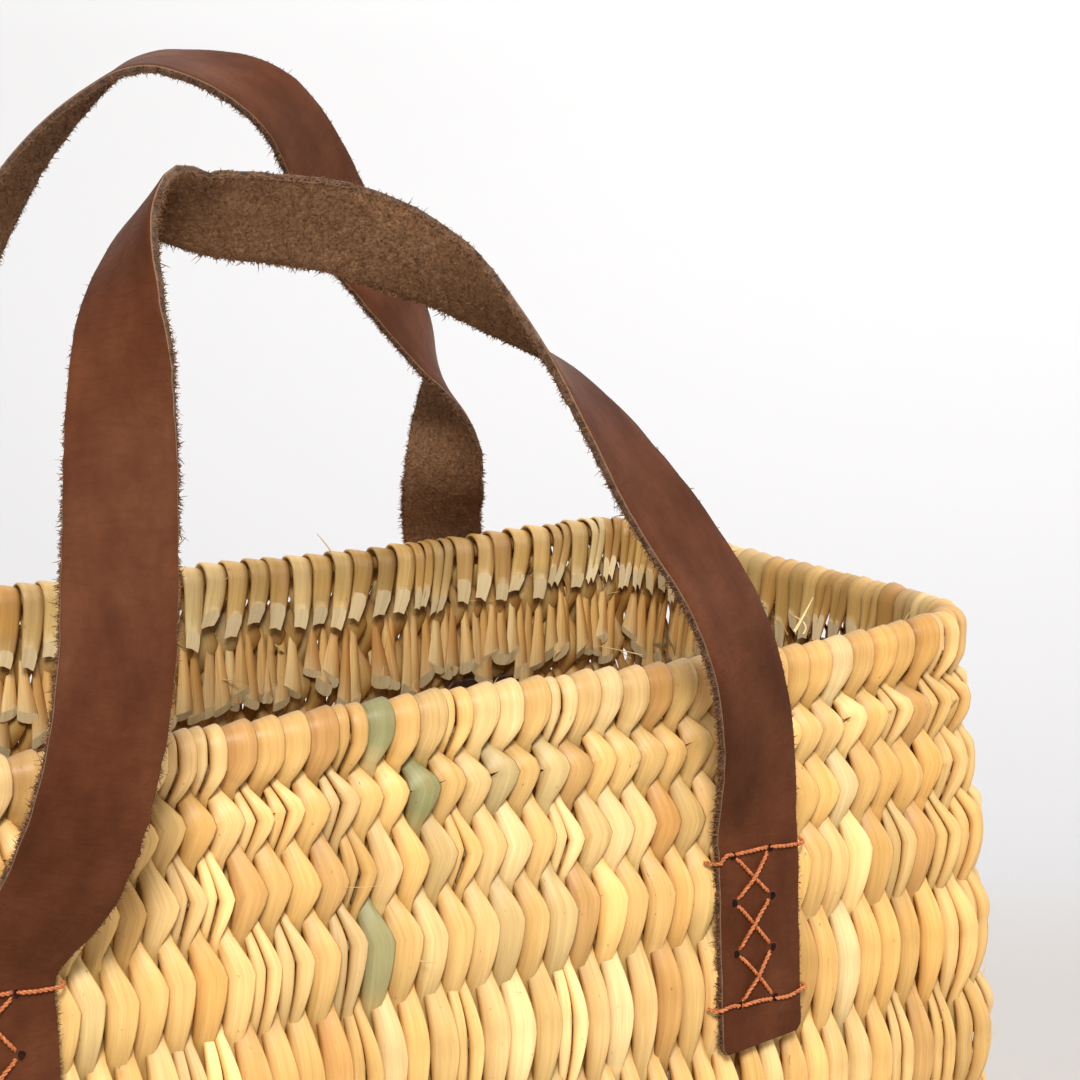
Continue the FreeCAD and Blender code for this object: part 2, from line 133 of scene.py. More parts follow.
def wall(s, r, z, wave=1.0):
    # (arc length, distance out from the wall's middle at the rim, height) -> xyz
    s = np.asarray(s, float)
    r = np.asarray(r, float)
    z = np.asarray(z, float)
    bx, by, nx, ny = plan(s)
    j = (np.mod(s, PERIM) / PERIM * 1024).astype(int) % 1024
    d = HEIGHT - z
    fade = np.clip(d / 0.06, 0, 1) * np.clip((0.26 - d) / 0.08, 0, 1)
    r = r + WALL_WAVE[j] * fade * wave
    z = z + RIM_WAVE[j] * np.clip(1 - d / 0.09, 0, 1) * wave
    z = z + RIM_DIP[j] * np.clip(1.15 - d / 0.034, 0, 1)
    return np.stack([bx + nx * r, by + ny * r, z], -1)


# ------------------------------------------------------------------ mesh building
class Mesher:
    def __init__(self):
        self.v, self.f, self.c, self.u, self.n = [], [], [], [], 0


def pchip(x, y, q):
    # smooth line through the points without overshoot
    x = np.asarray(x, float)
    y = np.asarray(y, float)
    h = np.diff(x)
    d = np.diff(y) / h
    m = np.zeros_like(y)
    for i in range(1, len(x) - 1):
        if d[i - 1] * d[i] > 0:
            w1, w2 = 2 * h[i] + h[i - 1], h[i] + 2 * h[i - 1]
            m[i] = (w1 + w2) / (w1 / d[i - 1] + w2 / d[i])
    m[0], m[-1] = d[0], d[-1]
    q = np.asarray(q, float)
    k = np.clip(np.searchsorted(x, q) - 1, 0, len(x) - 2)
    t = np.clip((q - x[k]) / h[k], 0, 1)
    return ((2 * t**3 - 3 * t**2 + 1) * y[k] + (t**3 - 2 * t**2 + t) * h[k] * m[k]
            + (-2 * t**3 + 3 * t**2) * y[k + 1] + (t**3 - t**2) * h[k] * m[k + 1])


def lin(c):
    c = np.asarray(c, float) / 255.0
    return np.where(c <= 0.04045, c / 12.92, ((c + 0.055) / 1.055) ** 2.4)


# ------------------------------------------------------------------ camera numbers, also used for the floor's colour ramp
EYE = np.array([-0.29765, -0.70472, 0.46043])
AZ, DIP, ROLL = math.radians(30.10), math.radians(10.63), math.radians(-0.25)
FWD = np.array([math.sin(AZ) * math.cos(DIP), math.cos(AZ) * math.cos(DIP), -math.sin(DIP)])
_r = np.array([math.cos(AZ), -math.sin(AZ), 0.0])
_u = np.cross(_r, FWD)
RIGHT = math.cos(ROLL) * _r + math.sin(ROLL) * _u
UP = -math.sin(ROLL) * _r + math.cos(ROLL) * _u


# ------------------------------------------------------------------ the woven reeds
HOOPS = np.array([0.0057] + [HEIGHT - z for z in CORD_Z])
DELTA = np.array([2.6, 3.1, 3.1, 2.6, 0.9, 0.8, 0.8, 0.8, 0.8]) * MM
DELTA_IN = np.array([2.2, 2.2, 2.2, 2.0, 0.6, 0.6, 0.6, 0.6, 0.6]) * MM
CREST = np.array([4.9, 5.4, 5.4, 5.2, 4.9, 4.85, 4.85, 4.85, 4.8]) * MM
PINCH, INNER = np.array([2.6, 2.6, 2.6, 3.15, 2.5, 2.5, 2.5, 2.5]) * MM, 4.8 * MM
STAND = 3.5 * MM

PALETTE = [((234, 193, 124), 6), ((240, 201, 136), 5), ((228, 184, 114), 5), ((246, 214, 156), 3),
           ((220, 173, 102), 3), ((213, 167, 104), 1), ((230, 193, 134), 2), ((222, 190, 130), 1), ((205, 157, 92), 0.7)]
PAL_C = np.array([lin(c) for c, w in PALETTE])
PAL_W = np.array([w for c, w in PALETTE], float)
PAL_W /= PAL_W.sum()
PITH = lin((236, 216, 176))
PITH_GREY = lin((218, 198, 158))

# the greener lengths: (reed number, depth of the middle of the float, half length, colour)
GREEN = []


def reed_path(side0, g):
    """Centre line of one reed: along-offset, out, depth, half width, lean. side0: 1 outside at the rim, -1 inside."""
    rows = []
    depth_j = g.normal(0, 1, 9) * 0.9 * MM
    hoops = HOOPS.copy()
    hoops[1:] += depth_j[1:] * np.where(np.arange(1, 9) < 4, 0.8, 1.2)
    sg = np.array([side0 * (1 if k % 2 == 0 else -1) for k in range(9)], float)
    delta = (np.where(sg > 0, DELTA, DELTA_IN) + g.normal(0, 0.35, 9) * MM) * sg
    stand = (STAND + g.normal(0, 0.3, 9) * MM) * sg
    half = np.where(sg > 0, CREST, INNER) * (1 + g.normal(0, 0.07, 9))
    lean = np.where(sg > 0, 11.5, 11.0) + g.normal(0, 2.5, 9)
    mid_lean = 26.0 + g.normal(0, 3, 9)
    if side0 > 0:
        # cut end inside, over the rim
        tail = 0.0200 + abs(g.normal(0, 0.0028)) + (0.004 if g.random() < 0.3 else 0)
        kick = g.normal(3.0, 1.2) * MM
        out_in = g.uniform(0.6, 2.2) * MM
        for t in np.linspace(0, 1, 6)[:-1]:
            d = tail + (0.0057 - tail) * t
            rows.append((delta[0] + kick * (1 - t) ** 1.3, -0.0047 - out_in * (1 - t), d, (2.6 + 2.0 * t ** 0.6) * MM, 14.0 * t))
        for a in np.linspace(180, 0, 10):
            q = math.radians(a)
            lift = 0.15 * MM * math.sin(q)
            rows.append((delta[0], 0.0047 * math.cos(q), 0.0057 - (0.0047 + lift) * math.sin(q), 4.7 * MM + 0.4 * MM * (0.5 + 0.5 * math.cos(q)), 13.0))
        drop = 0.0095 + g.normal(0, 0.0008)
        rows.append((delta[0], 0.0047, 0.5 * (0.0057 + drop), 5.0 * MM, 13.0))
        first, d0 = 0, drop
        r_first, h_first = 0.0046, 4.95 * MM
    else:
        top = 0.0125 + abs(g.normal(0, 0.0018))
        first, d0 = 0, top
        r_first, h_first = -0.0024, 3.9 * MM
    for k in range(8):
        a_d = d0 if k == 0 else hoops[k]
        b_d = hoops[k + 1]
        n = 11 if k < 3 else 12
        if k == 0:
            n = 12
        long_row = k >= 3
        a_s, b_s = delta[k], delta[k + 1]
        a_r = r_first if k == 0 else stand[k] + float(flare(hoops[k]))
        b_r = stand[k + 1] + float(flare(hoops[k + 1]))
        a_h = h_first if k == 0 else half[k]
        b_h = half[k + 1]
        if k == 0 and side0 < 0:
            a_s = delta[0] * 0.9
        p = 1.12 if long_row else 1.0
        for t in np.linspace(0, 1, n, endpoint=False):
            m = 0.5 - 0.5 * math.cos(math.pi * t)
            if long_row:
                # taut between cords: it bends near each one
                m = m + 0.12 * math.sin(2 * math.pi * t) * -1.0
            pinch = PINCH[k]
            if t < 0.5:
                w = 1 - (t / 0.5) ** p if sg[k] > 0 or k == 0 else 1 - (t / 0.5)
                h = pinch + (a_h - pinch) * max(0.0, w)
            else:
                w = 1 - ((1 - t) / 0.5) ** p if sg[k + 1] > 0 else 1 - (1 - t) / 0.5
                h = pinch + (b_h - pinch) * max(0.0, w)
            e = math.sin(math.pi * t)
            ln = lean[k] * (1 - t) + lean[k + 1] * t
            rows.append((a_s + (b_s - a_s) * t, a_r + (b_r - a_r) * m, a_d + (b_d - a_d) * t, h,
                         ln * (1 - e) + (mid_lean[k] if not long_row else mid_lean[k] * 0.8) * e))
    # down round the bottom edge and in under the wall
    last = sg[8]
    keys_d = [hoops[8], 0.2655, 0.2745, 0.2800, 0.2838, 0.2852, 0.2856]
    keys_r = [stand[8] + float(flare(hoops[8])), 0.0055 + last * 0.0022, 0.0017 + last * 0.0010, -0.0015 + last * 0.0004,
              -0.0052, -0.0085, -0.0112]
    q = np.linspace(0, 1, 12)
    kk = np.linspace(0, 1, len(keys_d))
    dd, rr = pchip(kk, keys_d, q), np.interp(q, kk, keys_r)
    for i, t in enumerate(q):
        rows.append((delta[8] * (1 - t), rr[i], dd[i], half[8] + (2.0 * MM - half[8]) * min(1, t * 1.6), lean[8] * (1 - t)))
    return np.array(rows), hoops, sg


def sweep(mesher, s, r, z, half, lean, colour, ring, thick=1.15 * MM, cut=None, slant=(0.0, 0.0), tag=0.0, x_shift=0.0,
          widen=1.0, wave=1.0, cut_end=None, slant_end=(0.0, 0.0)):
    """One flattened reed along (s, r, z); cut / cut_end give the colour of its first and last end faces."""
    P = wall(s, r, z, wave)
    n = len(P)
    T = np.gradient(P, axis=0)
    T /= np.linalg.norm(T, axis=1)[:, None]
    _, _, nx, ny = plan(s)
    ts = np.stack([-ny, nx, np.zeros(n)], -1)
    dr, dz = np.gradient(r), np.gradient(z)
    q = np.hypot(dr, dz) + 1e-12
    N = np.stack([nx * (-dz / q), ny * (-dz / q), dr / q], -1)
    W = ts - T * np.sum(ts * T, 1)[:, None]
    W /= np.linalg.norm(W, axis=1)[:, None]
    B = np.cross(T, W)
    B *= np.sign(np.sum(B * N, 1))[:, None]
    a = np.radians(lean)[:, None]
    W2 = np.cos(a) * W + np.sin(a) * B
    B2 = -np.sin(a) * W + np.cos(a) * B
    P = P + W2 * (x_shift * half)[:, None] if np.ndim(x_shift) or x_shift else P
    along = np.concatenate([[0], np.cumsum(np.linalg.norm(np.diff(P, axis=0), axis=1))])
    A3 = W2 * (half * widen)[:, None]
    B3 = B2 * thick
    mesher.reed(P, A3, B3, T, ring, colour, along, half * widen, tag, cut, slant, cut_end, slant_end)


def painted_shade_of(ring):
    # painted shade: the side a neighbour lies over, the right edge and the underside are painted darker and browner, as
    # shade baked into the colour
    x, y = ring[:, 0], ring[:, 1]
    k = np.clip((-x - 0.45) / 0.55, 0, 1) * 0.64 + np.clip((x - 0.93) / 0.07, 0, 1) * 0.22 + (y < -0.3) * 0.12
    return np.stack([1 - 0.75 * k, 1 - k, 1 - 1.25 * k], -1)


def reed(self, P, A, B, T, ring, colour, along, half, tag, cut, slant, cut_end, slant_end):
    n, m = len(P), len(ring)
    V = P[:, None, :] + A[:, None, :] * ring[None, :, 0:1] + B[:, None, :] * ring[None, :, 1:2]
    for end, sl, sign in ((0, slant, -1), (n - 1, slant_end, 1)):
        if not (sl[0] or sl[1]):
            continue
        # an oblique cut: each side of the reed stops at its own distance from the end
        short = -(sl[0] * ring[:, 0] + sl[1] * ring[:, 1])
        dist = along - along[0] if end == 0 else along[-1] - along
        order = slice(None) if end == 0 else slice(None, None, -1)
        for j, o in enumerate(short):
            if o > 0:
                at = [np.array([np.interp(o, dist[order], arr[order, c]) for c in range(3)]) for arr in (P, A, B)]
                V[dist < o, j] = at[0] + at[1] * ring[j, 0] + at[2] * ring[j, 1]
            else:
                V[end, j] += T[end] * sign * -o
    base = self.n
    self.v.append(V.reshape(-1, 3))
    cc3 = np.repeat(colour[:, None, :], m, axis=1)
    # painted shade on the overlapped side, the right edge and the underside of each reed
    cc3[:, :, :3] *= painted_shade_of(ring)[None, :, :]
    self.c.append(cc3.reshape(-1, 4))
    uv = np.zeros((n, m, 3))
    uv[:, :, 0] = ring[None, :, 0] * half[:, None]
    uv[:, :, 1] = along[:, None]
    uv[:, :, 2] = tag
    self.u.append(uv.reshape(-1, 3))
    idx = base + np.arange(n * m).reshape(n, m)
    a, b = idx[:-1], idx[1:]
    q = np.stack([a, np.roll(a, -1, 1), np.roll(b, -1, 1), b], -1).reshape(-1, 4)
    self.f += q.tolist()
    self.n += n * m
    for end, cc in ((0, cut), (n - 1, cut_end)):
        ringv = V[end]
        self.v.append(ringv)
        col = np.empty((m, 4))
        col[:, :3] = colour[end, :3] if cc is None else cc
        col[:, 3] = 0.0 if cc is None else 1.0
        self.c.append(col)
        self.u.append(np.c_[ring[:, 0] * half[end], ring[:, 1] * 0.001 + along[end], np.full(m, tag)])
        face = (self.n + np.arange(m)).tolist()
        self.f.append(face if end else face[::-1])
        self.n += m


def make(self, name, mats, face_mat=None):
    me = bpy.data.meshes.new(name)
    V = np.concatenate(self.v)
    me.from_pydata(V.tolist(), [], self.f)
    C = np.concatenate(self.c)
    U = np.concatenate(self.u)
    at = me.color_attributes.new("Tint", "FLOAT_COLOR", "POINT")
    at.data.foreach_set("color", C.astype(np.float32).ravel())
    au = me.attributes.new("Along", "FLOAT_VECTOR", "POINT")
    au.data.foreach_set("vector", U.astype(np.float32).ravel())
    for m in mats:
        me.materials.append(m)
    me.polygons.foreach_set("use_smooth", [True] * len(me.polygons))
    if face_mat is not None:
        me.polygons.foreach_set("material_index", face_mat)
    import bmesh
    bm = bmesh.new()
    bm.from_mesh(me)
    bmesh.ops.recalc_face_normals(bm, faces=bm.faces)
    bm.to_mesh(me)
    bm.free()
    me.update()
    ob = bpy.data.objects.new(name, me)
    scene.collection.objects.link(ob)
    return ob


Mesher.reed = reed
Mesher.make = make


def lens_ring(n_out=6, n_in=3, flat=0.35, crown=2.6):
    x = np.linspace(-1, 1, n_out)
    top = np.stack([x, np.sqrt(np.clip(1 - np.abs(x) ** crown, 0, 1))], -1)
    x2 = np.linspace(1, -1, n_in + 2)[1:-1]
    bot = np.stack([x2, -flat * np.ones_like(x2)], -1)
    return np.concatenate([top, bot])


REED_RING = np.array([(-1, -0.25), (-0.96, 0.40), (-0.70, 0.84), (-0.15, 1.0), (0.50, 0.97), (0.90, 0.70), (1, -0.05),
                      (0.90, -0.50), (0, -0.42), (-0.90, -0.55)])
FRONT_STATIONS = [
    (-122.0, -118.1, 226.2, 1.000, 0.000, -0.000),
    (-120.3, -118.8, 236.1, 0.949, 0.054, -0.309),
    (-115.6, -122.5, 244.3, 0.881, 0.085, -0.466),
    (-110.8, -127.1, 251.8, 0.891, -0.005, -0.453),
    (-107.6, -131.9, 259.9, 0.923, -0.125, -0.365),
    (-105.3, -136.0, 268.7, 0.939, -0.166, -0.301),
    (-103.1, -139.4, 277.9, 0.952, -0.145, -0.270),
    (-100.9, -141.5, 287.4, 0.961, -0.125, -0.246),
    (-98.5, -141.7, 297.1, 0.961, -0.137, -0.239),
    (-95.9, -140.2, 306.6, 0.958, -0.178, -0.225),
    (-93.2, -137.0, 315.7, 0.957, -0.221, -0.187),
    (-90.7, -132.8, 324.4, 0.957, -0.254, -0.141),
    (-88.3, -127.8, 332.7, 0.953, -0.285, -0.102),
    (-85.9, -122.5, 340.9, 0.945, -0.320, -0.068),
    (-83.5, -117.2, 349.1, 0.931, -0.362, -0.033),
    (-81.3, -112.1, 357.3, 0.909, -0.416, 0.005),
    (-79.1, -107.3, 365.8, 0.874, -0.484, 0.046),
    (-77.1, -102.9, 374.5, 0.821, -0.564, 0.090),
    (-75.3, -98.9, 383.3, 0.746, -0.651, 0.138),
    (-73.6, -95.1, 392.3, 0.644, -0.741, 0.190),
    (-72.0, -91.4, 401.2, 0.505, -0.830, 0.237),
    (-69.6, -87.6, 409.9, 0.336, -0.895, 0.295),
    (-66.4, -83.8, 418.1, 0.167, -0.917, 0.361),
    (-61.6, -79.9, 425.8, 0.029, -0.921, 0.388),
    (-54.3, -77.6, 432.2, 0.052, -0.853, 0.519),
    (-46.0, -77.2, 428.7, 0.172, -0.751, 0.637),
    (-36.4, -77.8, 426.9, 0.098, -0.647, 0.756),
    (-26.4, -78.0, 425.6, 0.087, -0.594, 0.800),
    (-16.4, -78.2, 424.4, 0.092, -0.577, 0.811),
    (-6.5, -78.7, 422.9, 0.120, -0.568, 0.814),
    (3.1, -79.9, 420.4, 0.159, -0.576, 0.802),
    (12.3, -81.8, 416.9, 0.173, -0.624, 0.762),
    (21.0, -84.2, 412.7, 0.132, -0.710, 0.691),
    (29.0, -87.3, 408.0, 0.044, -0.806, 0.590),
    (36.0, -91.0, 402.3, -0.081, -0.875, 0.477),
    (42.4, -95.0, 396.0, -0.233, -0.903, 0.362),
    (48.5, -99.2, 389.8, -0.382, -0.896, 0.227),
    (54.3, -103.3, 383.5, -0.513, -0.854, 0.085),
    (59.7, -107.2, 376.3, -0.618, -0.786, -0.030),
    (64.6, -110.8, 368.6, -0.695, -0.709, -0.116),
    (69.5, -114.2, 360.6, -0.755, -0.629, -0.185),
    (74.0, -117.3, 352.4, -0.802, -0.547, -0.240),
    (78.6, -120.3, 344.1, -0.829, -0.479, -0.289),
    (83.4, -123.5, 335.9, -0.842, -0.437, -0.315),
    (88.0, -126.5, 327.6, -0.848, -0.420, -0.324),
    (92.6, -129.3, 319.2, -0.852, -0.407, -0.330),
    (97.0, -131.2, 310.4, -0.863, -0.378, -0.335),
    (100.9, -132.2, 301.3, -0.878, -0.335, -0.341),
    (104.5, -132.1, 292.0, -0.894, -0.288, -0.343),
    (107.7, -131.0, 282.6, -0.909, -0.241, -0.339),
    (110.7, -129.0, 273.2, -0.925, -0.194, -0.326),
    (113.4, -126.4, 264.0, -0.942, -0.144, -0.305),
    (115.8, -123.3, 254.8, -0.956, -0.087, -0.280),
    (118.2, -120.1, 245.7, -0.967, -0.028, -0.254),
    (119.3, -118.0, 236.3, -0.986, -0.003, -0.166),
    (120.2, -117.1, 226.4, -1.000, 0.000, -0.000),
]

BACK_STATIONS = [
    (-124.0, 118.4, 226.0, -1.000, -0.000, 0.000),
    (-123.7, 118.3, 237.3, -0.997, -0.003, 0.080),
    (-122.3, 118.1, 248.6, -0.991, -0.032, 0.130),
    (-120.7, 118.6, 259.8, -0.982, -0.109, 0.157),
    (-118.9, 119.4, 270.8, -0.959, -0.216, 0.181),
    (-116.6, 119.3, 281.9, -0.939, -0.287, 0.191),
    (-113.6, 116.8, 292.5, -0.940, -0.273, 0.207),
    (-110.2, 112.7, 302.4, -0.947, -0.184, 0.264),
    (-106.5, 107.8, 311.8, -0.938, -0.058, 0.341),
    (-102.7, 103.1, 321.2, -0.909, 0.071, 0.410),
    (-98.6, 98.9, 330.9, -0.876, 0.171, 0.451),
    (-94.1, 95.8, 340.8, -0.858, 0.212, 0.467),
    (-89.1, 93.8, 350.8, -0.863, 0.180, 0.473),
    (-83.8, 92.6, 360.7, -0.875, 0.084, 0.476),
    (-78.5, 91.9, 370.5, -0.879, -0.051, 0.475),
    (-73.1, 91.3, 380.4, -0.864, -0.201, 0.462),
    (-67.6, 90.6, 390.1, -0.828, -0.353, 0.435),
    (-62.1, 89.6, 399.8, -0.774, -0.497, 0.393),
    (-56.4, 88.4, 409.4, -0.706, -0.622, 0.340),
    (-50.5, 86.8, 418.8, -0.642, -0.715, 0.277),
    (-44.4, 84.8, 428.1, -0.598, -0.773, 0.211),
    (-38.4, 82.5, 437.3, -0.567, -0.808, 0.161),
    (-31.8, 79.5, 445.9, -0.540, -0.834, 0.117),
    (-24.8, 76.0, 453.9, -0.508, -0.860, 0.058),
    (-17.3, 72.0, 461.2, -0.460, -0.888, -0.011),
    (-9.1, 67.7, 467.6, -0.417, -0.905, -0.086),
    (0.7, 62.9, 470.2, -0.410, -0.895, -0.173),
    (10.8, 58.3, 468.8, -0.418, -0.862, -0.288),
    (20.8, 54.5, 466.0, -0.420, -0.794, -0.439),
    (30.5, 51.9, 461.7, -0.447, -0.680, -0.581),
    (39.5, 51.5, 455.2, -0.509, -0.548, -0.664),
    (47.1, 54.0, 447.3, -0.591, -0.431, -0.682),
    (53.7, 57.7, 439.1, -0.657, -0.342, -0.672),
    (60.0, 61.9, 430.7, -0.696, -0.281, -0.661),
    (66.2, 66.1, 422.3, -0.707, -0.256, -0.659),
    (72.4, 70.5, 414.0, -0.708, -0.276, -0.650),
    (79.0, 73.3, 405.3, -0.703, -0.331, -0.629),
    (86.1, 74.6, 396.7, -0.687, -0.407, -0.602),
    (93.0, 75.6, 387.9, -0.661, -0.490, -0.568),
    (99.7, 76.8, 378.9, -0.619, -0.575, -0.535),
    (106.1, 78.2, 369.8, -0.538, -0.685, -0.492),
    (112.0, 80.1, 360.8, -0.387, -0.830, -0.401),
    (116.3, 82.3, 351.5, -0.126, -0.950, -0.285),
    (118.7, 84.8, 341.8, 0.207, -0.955, -0.212),
    (120.5, 87.5, 331.8, 0.507, -0.844, -0.174),
    (122.1, 90.9, 321.8, 0.726, -0.665, -0.174),
    (124.3, 96.8, 312.6, 0.846, -0.517, -0.127),
    (127.6, 104.4, 304.9, 0.888, -0.457, -0.053),
    (131.3, 112.3, 297.7, 0.892, -0.451, 0.013),
    (135.3, 119.3, 289.8, 0.886, -0.457, 0.084),
    (139.1, 124.3, 280.5, 0.893, -0.425, 0.145),
    (141.9, 126.1, 269.7, 0.922, -0.344, 0.176),
    (143.4, 124.3, 258.8, 0.961, -0.231, 0.152),
    (144.2, 121.4, 248.0, 0.988, -0.119, 0.098),
    (144.9, 118.7, 237.2, 0.998, -0.040, 0.042),
    (145.0, 118.1, 225.9, 1.000, 0.000, 0.000),
]


# ------------------------------------------------------------------ materials
def nodes_of(name):
    m = bpy.data.materials.new(name)
    m.use_nodes = True
    nt = m.node_tree
    nt.nodes.clear()
    out = nt.nodes.new("ShaderNodeOutputMaterial")
    b = nt.nodes.new("ShaderNodeBsdfPrincipled")
    nt.links.new(b.outputs[0], out.inputs["Surface"])
    return m, nt, b


def node(nt, kind, **k):
    n = nt.nodes.new(kind)
    for a, v in k.items():
        if a.startswith("_"):
            setattr(n, a[1:], v)
        else:
            n.inputs[a.replace("__", " ")].default_value = v
    return n


def math_node(nt, op, a, b=None, clamp=False):
    n = nt.nodes.new("ShaderNodeMath")
    n.operation = op
    n.use_clamp = clamp
    for i, v in enumerate((a, b)):
        if v is None:
            continue
        if hasattr(v, "node"):
            nt.links.new(v, n.inputs[i])
        else:
            n.inputs[i].default_value = v
    return n.outputs[0]


def mix_rgb(nt, fac, a, b, blend="MIX"):
    n = nt.nodes.new("ShaderNodeMix")
    n.data_type = "RGBA"
    n.blend_type = blend
    for sock, v in ((n.inputs[0], fac), (n.inputs[6], a), (n.inputs[7], b)):
        if hasattr(v, "node"):
            nt.links.new(v, sock)
        else:
            sock.default_value = float(v) if np.ndim(v) == 0 else (tuple(v) + (1.0,) if len(v) == 3 else tuple(v))
    return n.outputs[2]


def ramp(nt, fac, stops):
    n = nt.nodes.new("ShaderNodeMapRange")
    n.inputs["From Min"].default_value = stops[0]
    n.inputs["From Max"].default_value = stops[1]
    n.inputs["To Min"].default_value = stops[2]
    n.inputs["To Max"].default_value = stops[3]
    nt.links.new(fac, n.inputs["Value"])
    return n.outputs[0]


def scaled(nt, vec, s):
    n = nt.nodes.new("ShaderNodeVectorMath")
    n.operation = "MULTIPLY"
    nt.links.new(vec, n.inputs[0])
    n.inputs[1].default_value = s
    return n.outputs[0]


def noise(nt, vec, scale=1.0, detail=2.0, rough=0.5, dist=0.0):
    n = nt.nodes.new("ShaderNodeTexNoise")
    n.inputs["Scale"].default_value = scale
    n.inputs["Detail"].default_value = detail
    n.inputs["Roughness"].default_value = rough
    n.inputs["Distortion"].default_value = dist
    nt.links.new(vec, n.inputs["Vector"])
    return n.outputs["Fac"]


def bump(nt, height, dist, strength=1.0, prev=None):
    n = nt.nodes.new("ShaderNodeBump")
    n.inputs["Distance"].default_value = dist
    n.inputs["Strength"].default_value = strength
    nt.links.new(height, n.inputs["Height"])
    if prev is not None:
        nt.links.new(prev, n.inputs["Normal"])
    return n.outputs[0]


def attr(nt, name):
    n = nt.nodes.new("ShaderNodeAttribute")
    n.attribute_name = name
    return n


def reed_material():
    m, nt, b = nodes_of("reed")
    tint = attr(nt, "Tint")
    along = attr(nt, "Along").outputs["Vector"]
    fibre = noise(nt, scaled(nt, along, (1500.0, 45.0, 31.0)), 1.0, 3.0, 0.6)
    broad = noise(nt, scaled(nt, along, (260.0, 22.0, 17.0)), 1.0, 2.0, 0.5)
    speck = noise(nt, scaled(nt, along, (900.0, 380.0, 23.0)), 1.0, 2.0, 0.6)
    stain = noise(nt, scaled(nt, along, (150.0, 55.0, 11.0)), 1.0, 3.0, 0.6)
    c = mix_rgb(nt, ramp(nt, fibre, (0.30, 0.72, 0.0, 1.0)), (0.86, 0.83, 0.76), (1.07, 1.07, 1.06))
    c = mix_rgb(nt, 1.0, tint.outputs["Color"], c, "MULTIPLY")
    c2 = mix_rgb(nt, ramp(nt, broad, (0.32, 0.70, 0.0, 1.0)), (0.92, 0.87, 0.77), (1.06, 1.06, 1.05))
    c = mix_rgb(nt, 1.0, c, c2, "MULTIPLY")
    # brown flecks and a few stains
    dark = ramp(nt, speck, (0.70, 0.80, 0.0, 0.75))
    c = mix_rgb(nt, dark, c, tuple(lin((120, 78, 36))))
    st = ramp(nt, stain, (0.66, 0.82, 0.0, 0.55))
    c = mix_rgb(nt, st, c, tuple(lin((186, 130, 66))))
    nt.links.new(c, b.inputs["Base Color"])
    b.inputs["Roughness"].default_value = 0.46
    b.inputs["Specular IOR Level"].default_value = 0.42
    h = bump(nt, fibre, 0.00018, 0.7)
    h = bump(nt, broad, 0.0008, 0.5, h)
    nt.links.new(h, b.inputs["Normal"])
    return m


def cord_material():
    m, nt, b = nodes_of("cord")
    geo = nt.nodes.new("ShaderNodeTexCoord")
    n1 = noise(nt, geo.outputs["Object"], 420.0, 4.0, 0.6)
    n2 = noise(nt, geo.outputs["Object"], 90.0, 2.0, 0.5)
    c = mix_rgb(nt, ramp(nt, n1, (0.3, 0.7, 0.0, 1.0)), tuple(lin((120, 104, 68))), tuple(lin((198, 184, 140))))
    c = mix_rgb(nt, ramp(nt, n2, (0.4, 0.7, 0.0, 0.7)), c, tuple(lin((168, 148, 92))))
    nt.links.new(c, b.inputs["Base Color"])
    b.inputs["Roughness"].default_value = 0.75
    nt.links.new(bump(nt, n1, 0.0005, 0.8), b.inputs["Normal"])
    return m


def grain_material():
    m, nt, b = nodes_of("leather_grain")
    along = attr(nt, "Along").outputs["Vector"]
    vor = nt.nodes.new("ShaderNodeTexVoronoi")
    vor.inputs["Scale"].default_value = 1500.0
    nt.links.new(along, vor.inputs["Vector"])
    pore = vor.outputs["Distance"]
    n1 = noise(nt, along, 900.0, 3.0, 0.6)
    n2 = noise(nt, scaled(nt, along, (55.0, 26.0, 9.0)), 1.0, 4.0, 0.62)
    n3 = noise(nt, scaled(nt, along, (150.0, 420.0, 9.0)), 1.0, 3.0, 0.6, 0.6)
    scuff = noise(nt, scaled(nt, along, (700.0, 300.0, 9.0)), 1.0, 5.0, 0.7)
    c = mix_rgb(nt, ramp(nt, n2, (0.34, 0.68, 0.0, 1.0)), tuple(lin((71, 37, 21))), tuple(lin((97, 55, 34))))
    c = mix_rgb(nt, ramp(nt, n3, (0.45, 0.70, 0.0, 0.35)), c, tuple(lin((72, 36, 21))))
    c = mix_rgb(nt, ramp(nt, scuff, (0.70, 0.82, 0.0, 0.30)), c, tuple(lin((150, 100, 74))))
    nt.links.new(c, b.inputs["Base Color"])
    r = ramp(nt, n2, (0.3, 0.7, 0.62, 0.50))
    nt.links.new(r, b.inputs["Roughness"])
    b.inputs["Specular IOR Level"].default_value = 0.10
    b.inputs["Specular Tint"].default_value = (1.0, 0.72, 0.52, 1.0)
    h = bump(nt, pore, 0.00010, 0.5)
    h = bump(nt, n1, 0.00025, 0.6, h)
    h = bump(nt, n3, 0.0006, 0.4, h)
    nt.links.new(h, b.inputs["Normal"])
    return m


